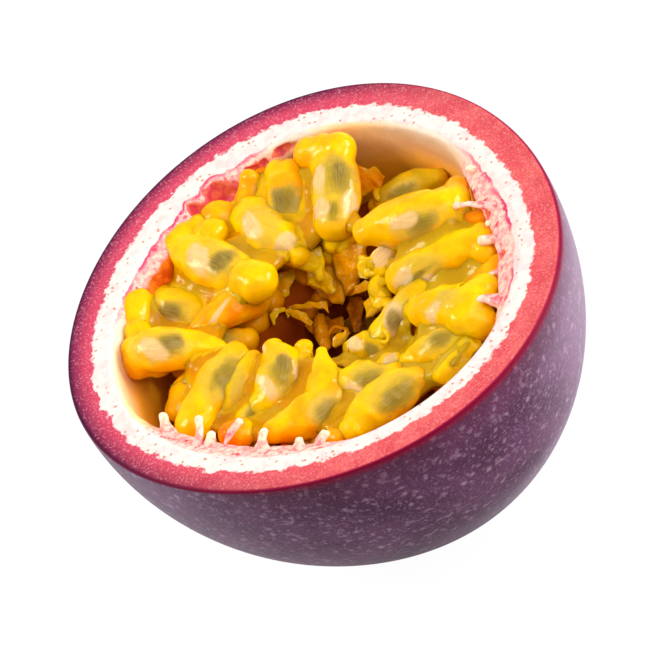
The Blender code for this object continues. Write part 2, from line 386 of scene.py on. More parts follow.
def rind_material():
    """Skin, cut flesh and inner wall, told apart by the way along the section."""
    n = Nodes("rind surface")
    across = n.value("across")          # mm; below 0 on the skin, above 0 over the cut and inside
    ridge = n.value("ridge")
    lip = n.value("lip")                # mm across to where the inner wall starts
    skin = skin_colour(n, across)
    edge = n.minus(across, n.math("MULTIPLY_ADD", ridge, -0.3, lip))
    edge = n.plus(edge, n.sway(1.4, 3.0, 0.9))
    colour = n.fade(flesh_colour(n, across), wall_colour(n, across, lip, ridge), edge, -0.25, 0.15)
    crack = n.times(n.spread(edge, -0.20, -0.05), n.spread(edge, 0.60, 0.0))
    dotted = n.spread(n.plus(n.noise(0.3), n.times(crack, 0.35)), 0.55, 0.75)
    crack = n.times(n.times(crack, dotted), n.value("crack"))
    crack = n.times(crack, n.spread(n.noise(4.0), 0.34, 0.52))
    colour = n.mix(crack, colour, (212, 54, 104))
    colour = n.fade(skin, colour, across, -0.02, 0.02)
    torn = n.plus(n.value("pit"), n.sway(0.5, 3.0, 0.5))
    patch = n.noise(0.9)
    colour = n.fade(colour, n.fade((212, 84, 90), (232, 120, 86), patch, 0.4, 0.6), torn, 0.12, 0.30)
    colour = n.fade(colour, n.fade((194, 52, 60), (210, 86, 54), patch, 0.4, 0.6), torn, 0.5, 0.8)
    n.set(Base_Color=colour, Roughness=n.spread(across, -0.1, 0.1, 0.50, 0.56))
    n.set(Normal=n.bump(n.plus(n.times(n.noise(0.28), 0.5), n.noise(0.9, 3.0)), 0.12, 0.5))
    n.inner_light(0.12, (1.0, 0.35, 0.25), 0.8)
    n.shader.inputs["Specular IOR Level"].default_value = 0.06
    return n.material


def skin_colour(n, across):
    """Dull purple with lenticels of several sizes, a pale painted sheen on the sides that the lamps and the
    floor light at a grazing angle, painted shade towards the bottom, and redder close under the rim.
    """
    skin = n.fade((70, 36, 60), (88, 50, 78), n.noise(5.0, 3.0), 0.35, 0.65)
    grain = n.noise(0.24)
    skin = n.fade(skin, (128, 96, 120), grain, 0.50, 0.72, 0.0, 0.35)
    skin = n.fade(skin, (54, 24, 46), grain, 0.46, 0.28, 0.0, 0.35)
    for size, low in ((1.0, 0.595), (0.65, 0.60)):
        skin = n.fade(skin, (150, 116, 138), n.noise(size, 3.0), low, low + 0.09, 0.0, 0.42)
    wander = 0.5 * MM
    uneven = n.put("ShaderNodeTexNoise", {"Vector": n.place(), "Scale": 1.0 / wander})
    wobbly = n.put("ShaderNodeVectorMath", {0: uneven.outputs["Color"], 1: [wander] * 3, 2: n.place()},
                   operation="MULTIPLY_ADD").outputs[0]
    for size, low, high, strength in ((1.3, 0.10, 0.36, 0.5), (0.7, 0.08, 0.36, 0.3),
                                      (0.42, 0.04, 0.30, 0.45)):
        distance, chance = n.cells(size, where=wobbly)
        speck = n.plus(distance, n.times(chance, 0.16))
        skin = n.fade(skin, (168, 138, 158), speck, low, high, strength, 0.0)
    # painted shade: the skin is painted darker towards the bottom
    skin = n.fade(skin, (44, 0, 34), across, -12.0, -26.0, 0.0, 0.9)
    # painted sheen: the skin is painted paler where the lamps and the floor would light it at a grazing
    # angle
    skin = n.mix(n.times(n.value("painted_sheen"), 0.29), skin, (208, 190, 212))
    glow = n.value("glow")
    skin = n.mix(n.times(n.spread(across, -4.5, -0.4, 0.0, 0.45), glow), skin, (80, 22, 44))
    skin = n.mix(n.times(n.spread(across, -0.95, -0.1), glow), skin, (120, 0, 38))
    return n.fade(skin, (104, 2, 40), across, -0.30, -0.05)


def flesh_colour(n, across):
    """The cut face: a dark line at the skin, red flesh, and pith with a ragged red edge."""
    blush = n.value("blush")            # how dark the red flesh is near the skin
    pale = n.fade((206, 76, 80), (218, 98, 94), n.noise(2.4), 0.3, 0.7)
    red = n.mix(blush, pale, n.fade((100, 28, 66), (198, 66, 92), across, 0.1, 2.2))
    grain = n.noise(0.20)
    red = n.fade(red, (246, 166, 170), grain, 0.50, 0.74, 0.0, 0.36)
    red = n.fade(red, (170, 34, 68), grain, 0.48, 0.25, 0.0, 0.45)
    skin_line = n.mix(blush, (150, 14, 56), (62, 10, 44))
    red = n.fade(skin_line, red, across, 0.06, n.math("MULTIPLY_ADD", blush, 0.30, 0.22))
    white = n.fade((232, 220, 210), (230, 200, 196), n.noise(0.9, 3.0), 0.35, 0.7)
    distance, chance = n.cells(0.9, (0.75, 0.75, 2.0))
    dash = n.spread(n.plus(distance, n.sway(0.3, 2.0, 0.6)), 0.28, 0.12)
    white = n.mix(n.times(dash, n.spread(chance, 0.34, 0.40, 0.0, 0.75)), white, (190, 100, 60))
    border = n.plus(across, n.plus(n.sway(1.1, 2.0, 1.5), n.sway(0.35, 1.0, 0.5)))
    return n.fade(red, white, n.minus(border, n.value("pink_width")), -0.14, 0.16)


def wall_colour(n, across, lip, ridge):
    """Inner wall: cream, stained tan to brown lower down, with painted light where it lies in shadow; pink
    and fibrous on the ridges.
    """
    down = n.minus(across, lip)
    wall = n.ramp(n.times(n.plus(down, n.sway(3.0, 2.0, 1.6)), 1.0 / 9.0), (
        (0.0, (242, 228, 208)), (0.10, (234, 200, 162)), (0.3, (226, 170, 114)),
        (0.5, (244, 172, 52)), (0.8, (240, 154, 20)), (1.0, (224, 126, 8))))
    # painted light: the wall is painted paler in two places where it lies in shadow
    lit = n.fade((255, 204, 128), (255, 166, 10), down, 2.0, 6.0)
    wall = n.mix(n.times(n.value("lit"), 0.75), wall, lit)
    threads = n.noise(0.5, 4.0, (1.0, 1.0, 1.5))
    fibres = n.fade((250, 206, 186), (244, 152, 150), threads, 0.36, 0.64)
    fibres = n.fade(fibres, (226, 74, 88), n.noise(0.9, 3.0, (1.0, 1.0, 1.4)), 0.58, 0.70)
    fibres = n.fade(fibres, (222, 90, 96), n.noise(0.22, 1.0), 0.60, 0.70, 0.0, 0.6)
    rusty = n.value("rust")
    rust = n.fade((206, 74, 4), (242, 118, 16), n.noise(0.8, 3.0), 0.38, 0.62)
    torn = n.plus(n.plus(down, n.sway(1.8, 3.0, 2.4)), n.times(rusty, 1.5))
    fibres = n.fade(fibres, n.mix(rusty, (252, 140, 24), rust), torn, 2.3, 2.9)
    fibres = n.fade(fibres, (190, 80, 0), down, 4.5, 7.5)
    return n.fade(wall, fibres, ridge, 0.25, 0.6)


def sac_material():
    """Wet yellow juice in a thin skin, with the seed showing where it lies close under it."""
    n = Nodes("juice sac")
    tone = n.value("tone")              # 0 is olive and clear, 1 bright yellow, 2 orange
    depth = n.value("depth")
    shade = n.plus(tone, n.spread(n.noise(2.2), 0.3, 0.7, -0.32, 0.32))
    juice = n.ramp(n.times(shade, 0.5), (
        (0.0, (200, 156, 4)), (0.2, (238, 180, 0)), (0.38, (255, 194, 0)),
        (0.55, (255, 179, 0)), (0.75, (255, 158, 0)), (1.0, (255, 122, 0))))
    # painted shade: the juice is painted darker amber and then brown the deeper it lies in the hollow
    juice = n.fade(juice, (212, 132, 0), depth, 4.4, 7.5)
    juice = n.fade(juice, (170, 78, 0), depth, 7.0, 12.0)
    n.set(Base_Color=seed_window(n, juice, depth))
    crumpled = n.times(n.spread(tone, 1.3, 0.6), n.spread(n.noise(3.4, 1.0), 0.40, 0.56))
    clear = n.times(n.spread(tone, 0.75, 0.45), n.noise(0.45, 3.0, (1.0, 1.0, 1.8)))
    relief = n.math("MULTIPLY_ADD", clear, 1.1, n.noise(0.9, 3.0))
    wet_finish(n, n.plus(relief, n.times(n.creases(3.6), crumpled)), 0.18, 0.5)
    return n.material


def seed_window(n, juice, depth):
    """Juice colour with what shows through it: an olive veil, dark seeds and creamy skins, whose cream is
    partly their own colour and partly painted reflection of the lamps.
    """
    flat = n.put("ShaderNodeCombineXYZ", {0: n.value("seed_u"), 1: n.value("seed_v")}).outputs[0]
    fine = n.put("ShaderNodeMapping", {"Vector": flat, "Scale": (0.9, 7.5, 1.0)}).outputs[0]
    inputs = {"Vector": fine, "Scale": 1.0, "Detail": 3.0, "Distortion": 0.7}
    hair = n.minus(n.put("ShaderNodeTexNoise", inputs).outputs["Fac"], 0.5)
    patch = n.sway(1.2, 2.0, 1.0)

    def edge(kind, patchy, hairy):
        return n.plus(n.value(kind), n.plus(n.times(patch, patchy), n.times(hair, hairy)))

    veil = n.fade((204, 166, 44), (218, 182, 58), hair, -0.25, 0.25)
    colour = n.fade(juice, veil, edge("veil", 0.7, 0.1), -0.15, 0.40, 0.0, 0.9)
    dark = n.fade((122, 98, 24), (174, 146, 46), hair, -0.30, 0.20)
    dark = n.fade(dark, (194, 162, 70), patch, -0.15, 0.25, 0.0, 0.5)
    # painted shade: the seeds show browner the deeper they lie in the hollow
    dark = n.fade(dark, (130, 74, 0), depth, 4.5, 9.0, 0.0, 0.8)
    dark = n.fade(dark, (108, 90, 26), edge("dark", 0.8, 0.4), 0.25, 0.9, 0.0, 0.4)
    colour = n.fade(colour, dark, edge("dark", 0.9, 0.2), -0.10, 0.60, 0.0, 0.92)
    # pale skin over the seed: partly its own cream colour, partly painted reflection of the lamps
    cream_and_reflection = n.fade((222, 182, 116), (236, 200, 144), hair, -0.25, 0.25)
    colour = n.fade(colour, cream_and_reflection, edge("cream_and_reflection", 0.7, 0.1), -0.05, 0.40, 0.0, 0.92)
    coat = n.fade((112, 90, 34), (158, 132, 64), hair, -0.30, 0.25)
    return n.fade(colour, coat, edge("pip", 0.8, 0.5), -0.05, 0.60, 0.0, 0.9)


def wet_finish(n, relief, depth, strength):
    """Soft light inside and a wet gloss, for juice and its skins."""
    relief = n.math("MULTIPLY_ADD", n.noise(0.3), 0.25, relief)
    n.set(Roughness=0.10, Normal=n.bump(relief, depth, strength))
    n.inner_light(0.6, (1.0, 1.0, 0.25), 1.6)
    n.shader.inputs["IOR"].default_value = 1.36
    n.shader.inputs["Specular IOR Level"].default_value = 0.40
    n.shader.inputs["Specular Tint"].default_value = (1.0, 0.95, 0.60, 1.0)


def tail_material():
    """Torn skins, from deep brown to clear yellow, the deep brown partly painted shade, with pale creases
    that are partly painted glints.
    """
    n = Nodes("torn skin")
    # painted shade in part: the darker skins are those set deep in the hollow
    bright = n.plus(n.value("bright"), n.sway(0.9, 3.0, 0.5))
    colour = n.ramp(bright, (
        (0.0, (96, 36, 0)), (0.25, (150, 72, 0)), (0.5, (214, 124, 0)),
        (0.75, (252, 164, 0)), (1.0, (255, 206, 4))))
    olive = n.times(n.spread(n.noise(1.8), 0.42, 0.58), n.spread(bright, 0.45, 0.8, 0.0, 0.5))
    colour = n.mix(olive, colour, (206, 152, 22))
    # pale folds in the skins: partly their own colour, partly painted glints where they catch the lamps
    fold_and_glint = n.spread(n.noise(0.7, 4.0, (1.0, 1.0, 2.5)), 0.60, 0.68)
    fold_and_glint = n.times(fold_and_glint, n.spread(bright, 0.45, 0.85, 0.0, 0.8))
    n.set(Base_Color=n.mix(fold_and_glint, colour, (250, 224, 150)))
    wet_finish(n, n.noise(0.6, 3.0), 0.25, 0.6)
    n.shader.inputs["Subsurface Weight"].default_value = 0.35
    n.shader.inputs["Specular IOR Level"].default_value = 0.20
    return n.material


def film_material():
    """Juice pooled between the sacs, with painted shade: more orange where it sinks between them, and then
    brown the deeper it lies.
    """
    n = Nodes("juice between")
    depth = n.plus(n.value("depth"), n.noise(2.0))
    # painted shade: darker orange where the juice sinks between the sacs
    juice = n.fade((246, 184, 0), (208, 138, 0), n.value("sunk"), 0.2, 2.0)
    juice = n.fade(juice, (192, 150, 6), n.noise(3.2), 0.45, 0.62, 0.0, 0.7)
    juice = n.mix(n.times(n.value("clear"), 0.8), juice, (196, 158, 14))
    # painted shade: orange and then brown the deeper the juice lies in the hollow
    juice = n.fade(juice, (210, 124, 0), depth, 5.0, 7.4)
    n.set(Base_Color=n.fade(juice, (160, 76, 0), depth, 6.5, 9.5))
    wet_finish(n, n.plus(n.noise(0.9, 3.0), n.creases(3.4)), 0.2, 0.5)
    return n.material


def seed_material():
    n = Nodes("seed coat")
    streaks = n.noise(0.5, 3.0)
    n.set(Base_Color=n.fade((58, 54, 30), (140, 128, 80), streaks, 0.35, 0.68), Roughness=0.35)
    n.set(Normal=n.bump(streaks, 0.1, 0.6))
    return n.material


def stalk_material():
    n = Nodes("stalk")
    flecks = n.noise(0.6)
    root = n.fade((250, 186, 174), (232, 100, 106), flecks, 0.42, 0.60)
    tip = n.fade((252, 232, 196), (248, 206, 168), flecks, 0.4, 0.7)
    n.set(Base_Color=n.fade(root, tip, n.value("along"), 0.45, 0.9), Roughness=0.4)
    n.set(Normal=n.bump(flecks, 0.1, 0.5))
    n.inner_light(0.3, (1.0, 0.4, 0.3), 0.8)
    return n.material


def core_material():
    n = Nodes("deep juice")
    lumps = n.noise(1.6, 3.0)
    depth = n.plus(n.value("depth"), n.times(lumps, 2.0))
    # painted shade: the deep juice is painted darker brown the deeper it lies
    n.set(Base_Color=n.fade((154, 68, 0), (108, 38, 0), depth, 6.5, 11.0), Roughness=0.5)
    n.set(Normal=n.bump(lumps, 0.4, 0.6))
    n.inner_light(0.3, (1.0, 0.35, 0.03), 1.5)
    n.shader.inputs["Specular IOR Level"].default_value = 0.02
    return n.material


def floor_material():
    """White sweep, lit a little from below as on a light table, so that shadows stay faint."""
    n = Nodes("pale floor")
    n.set(Base_Color=n.fade((64, 64, 64), (70, 70, 70), n.noise(60.0), 0.3, 0.7), Roughness=0.8)
    n.shader.inputs["Specular IOR Level"].default_value = 0.0
    n.shader.inputs["Emission Color"].default_value = (1.0, 1.0, 1.0, 1.0)
    n.shader.inputs["Emission Strength"].default_value = 0.96
    return n.material


# ---------------------------------------------------------------- rind

RIND_COLUMNS = 384
CUT_ROWS = 34
SKIN_ROWS = 60
RIM_ROWS = 8
FOOT_RADIUS = 2.0
FINE_WALL_DROP = 9.0        # the inner wall has close rows down to here and wider ones below

# Torn hollows in a ridge: (azimuth, drop, half width round the wall, half height, depth).
PITS = ((99, 1.3, 2.3, 0.8, 1.2), (77, 1.0, 1.3, 0.45, 0.6), (106, 1.1, 1.1, 0.6, 1.0),
        (87, 1.2, 1.5, 0.5, 0.9), (-12, 1.6, 0.6, 0.5, 0.6), (-31, 1.5, 0.5, 0.6, 0.6),
        (-150, 1.2, 0.4, 0.4, 0.4))

# Where the rind's colours change round the fruit, painted sheen and painted light among them: azimuth, and
# spread in degrees.
DARK_FLESH = 140.0
DARK_FLESH_TOP = (62.0, 28.0)
# painted sheen: the sides of the skin that are painted paler, as if lit at a grazing angle
PAINTED_SHEEN = -5.0
PAINTED_SHEEN_LEFT = (-165.0, 32.0)
PAINTED_SHEEN_LOW = (-62.0, 24.0)
# painted light on the inner wall, where it lies in shadow
WALL_PAINTED_LIGHT = ((56.0, 11.0), (-169.0, 16.0))
RUSTY_RIDGE = (135.0, 22.0)
RED_GLOW = -60.0
WIDE_PINK = 50.0


def quarter_round(radius, corner, turns):
    """(radius, drop) rows of a rounded edge at a radius; a corner below 0 leans outward."""
    return [(radius - corner * (1.0 - math.cos(turn)), abs(corner) * (1.0 - math.sin(turn)))
            for turn in turns]


def rind_section():
    """(radius, drop) rows, from the foot up the skin, over the rim and down the inner wall."""
    side = HEIGHT * np.sin(np.linspace(QUARTER, 0.0, SKIN_ROWS)[:-1])
    side = side[side > RIM_BEVEL]
    drops = [*side, *np.linspace(side[-1], RIM_BEVEL, RIM_ROWS)[1:]]
    rows = [(0.0, HEIGHT), (FOOT_RADIUS, HEIGHT)] + [(float(outer_radius(d)), d) for d in drops]
    rows += quarter_round(RIM_RADIUS, RIM_BEVEL, np.linspace(0.0, QUARTER, 5)[1:])
    flat = np.linspace(RIM_RADIUS - RIM_BEVEL, LIP_RADIUS + LIP_ROUNDING, CUT_ROWS)[1:]
    rows += [(r, 0.0) for r in flat]
    rows += quarter_round(LIP_RADIUS, -LIP_ROUNDING, np.linspace(QUARTER, 0.0, 9)[1:])
    steps = np.linspace(math.asin(FINE_WALL_DROP / FLOOR_DROP), QUARTER, 18)[1:]
    wall = [*np.linspace(LIP_ROUNDING, FINE_WALL_DROP, 46)[1:], *FLOOR_DROP * np.sin(steps)]
    return np.array(rows + [(float(inner_radius(d)), d) for d in wall])


def pit_depth(azimuth, drop):
    """0 on the sound wall to 1 in the middle of a torn hollow, and how deep the wall sinks there."""
    share, sink = np.zeros(np.broadcast(azimuth, drop).shape), 0.0
    ragged = 1.0 + 0.9 * ripple(place(azimuth, LIP_RADIUS, drop), 0.9, 60.0)
    for centre, level, wide, high, deep in PITS:
        sideways = np.radians(degrees_apart(azimuth, centre)) * LIP_RADIUS / wide
        close = np.exp(-((sideways ** 2 + ((drop - level) / high) ** 2) * ragged) ** 1.5)
        share = np.maximum(share, close * min(deep, 1.0))
        sink = np.maximum(sink, deep * close)
    return share, sink


def rind_piece(material):
    section = rind_section()
    radius, drop = section[:, 0, None], section[:, 1, None]
    azimuth = np.linspace(-180.0, 180.0, RIND_COLUMNS, endpoint=False)[None, :]
    edge = int(np.argmax(section[:, 1] <= RIM_BEVEL)) + 2
    after_edge = (np.arange(len(section)) > edge)[:, None]
    inward = np.clip((outer_radius(drop) - radius) / RIM_WALL, 0.0, 1.0) * after_edge
    distance = radius * outline(np.radians(azimuth)) - inward * wall_step(azimuth, drop)
    pit, sink = pit_depth(azimuth, drop)
    in_wall = inward > 0.8
    points = place(azimuth, np.maximum(distance, 0.0) + sink * in_wall, drop)
    step = np.linalg.norm(np.diff(points, axis=0), axis=-1)
    way = np.concatenate([np.zeros((1, RIND_COLUMNS)), np.cumsum(step, axis=0)])
    way -= way[edge]
    lip = way[int(np.argmax(after_edge & (radius <= LIP_RADIUS + 1e-6)))]
    # Gentle unevenness of the cut face, and more on the fibrous ridges.
    ridge = ridge_share(azimuth)
    outward = unit_vectors(points - MIDDLE)
    over_cut = (way > 0.6) & (way < lip - 1.0)
    points[..., 2] += over_cut * 0.06 * (ripple(points, 0.9, 1.0) - 0.6)
    rough = smooth_step(lip - 1.2, lip, way) * (0.10 + 0.38 * ridge)
    lumps = 0.5 * ripple(points, 1.3, 2.0) + 0.3 * ripple(points, 0.6, 3.0)
    points -= outward * (rough * lumps)[..., None]
    left = smooth_step(0.2, 0.9, facing(azimuth, DARK_FLESH))
    values = {
        "across": way,
        "blush": np.clip(0.05 + 0.95 * left + 0.3 * near(azimuth, *DARK_FLESH_TOP), 0.0, 1.0),
        "ridge": ridge,
        "crack": ridge * (np.abs(degrees_apart(azimuth, RIDGE_AZIMUTHS[2])) > 60.0),
        # painted sheen: paler skin where the lamps and the floor would light it at a grazing angle
        "painted_sheen": (smooth_step(0.70, 1.0, facing(azimuth, PAINTED_SHEEN)) + 0.6 * near(azimuth, *PAINTED_SHEEN_LEFT)
                  + 0.9 * near(azimuth, *PAINTED_SHEEN_LOW) * smooth_step(13.0, 21.0, -way)),
        # painted light on the inner wall, where it lies in shadow
        "lit": sum(near(azimuth, *part) for part in WALL_PAINTED_LIGHT),
        "rust": near(azimuth, *RUSTY_RIDGE),
        "lip": lip - 0.6,
        "pit": pit * in_wall,
        "glow": smooth_step(0.55, 0.95, facing(azimuth, RED_GLOW)),
        "pink_width": 2.55 + 0.3 * np.cos(np.radians(azimuth - WIDE_PINK)),
    }
    values = {label: np.broadcast_to(numbers, way.shape) for label, numbers in values.items()}
    faces = tube_faces(len(section), RIND_COLUMNS)[:, ::-1].tolist()
    piece = new_piece("rind_flesh", points.reshape(-1, 3), faces, material, values)
    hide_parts("rind")


# ---------------------------------------------------------------- sacs and seeds

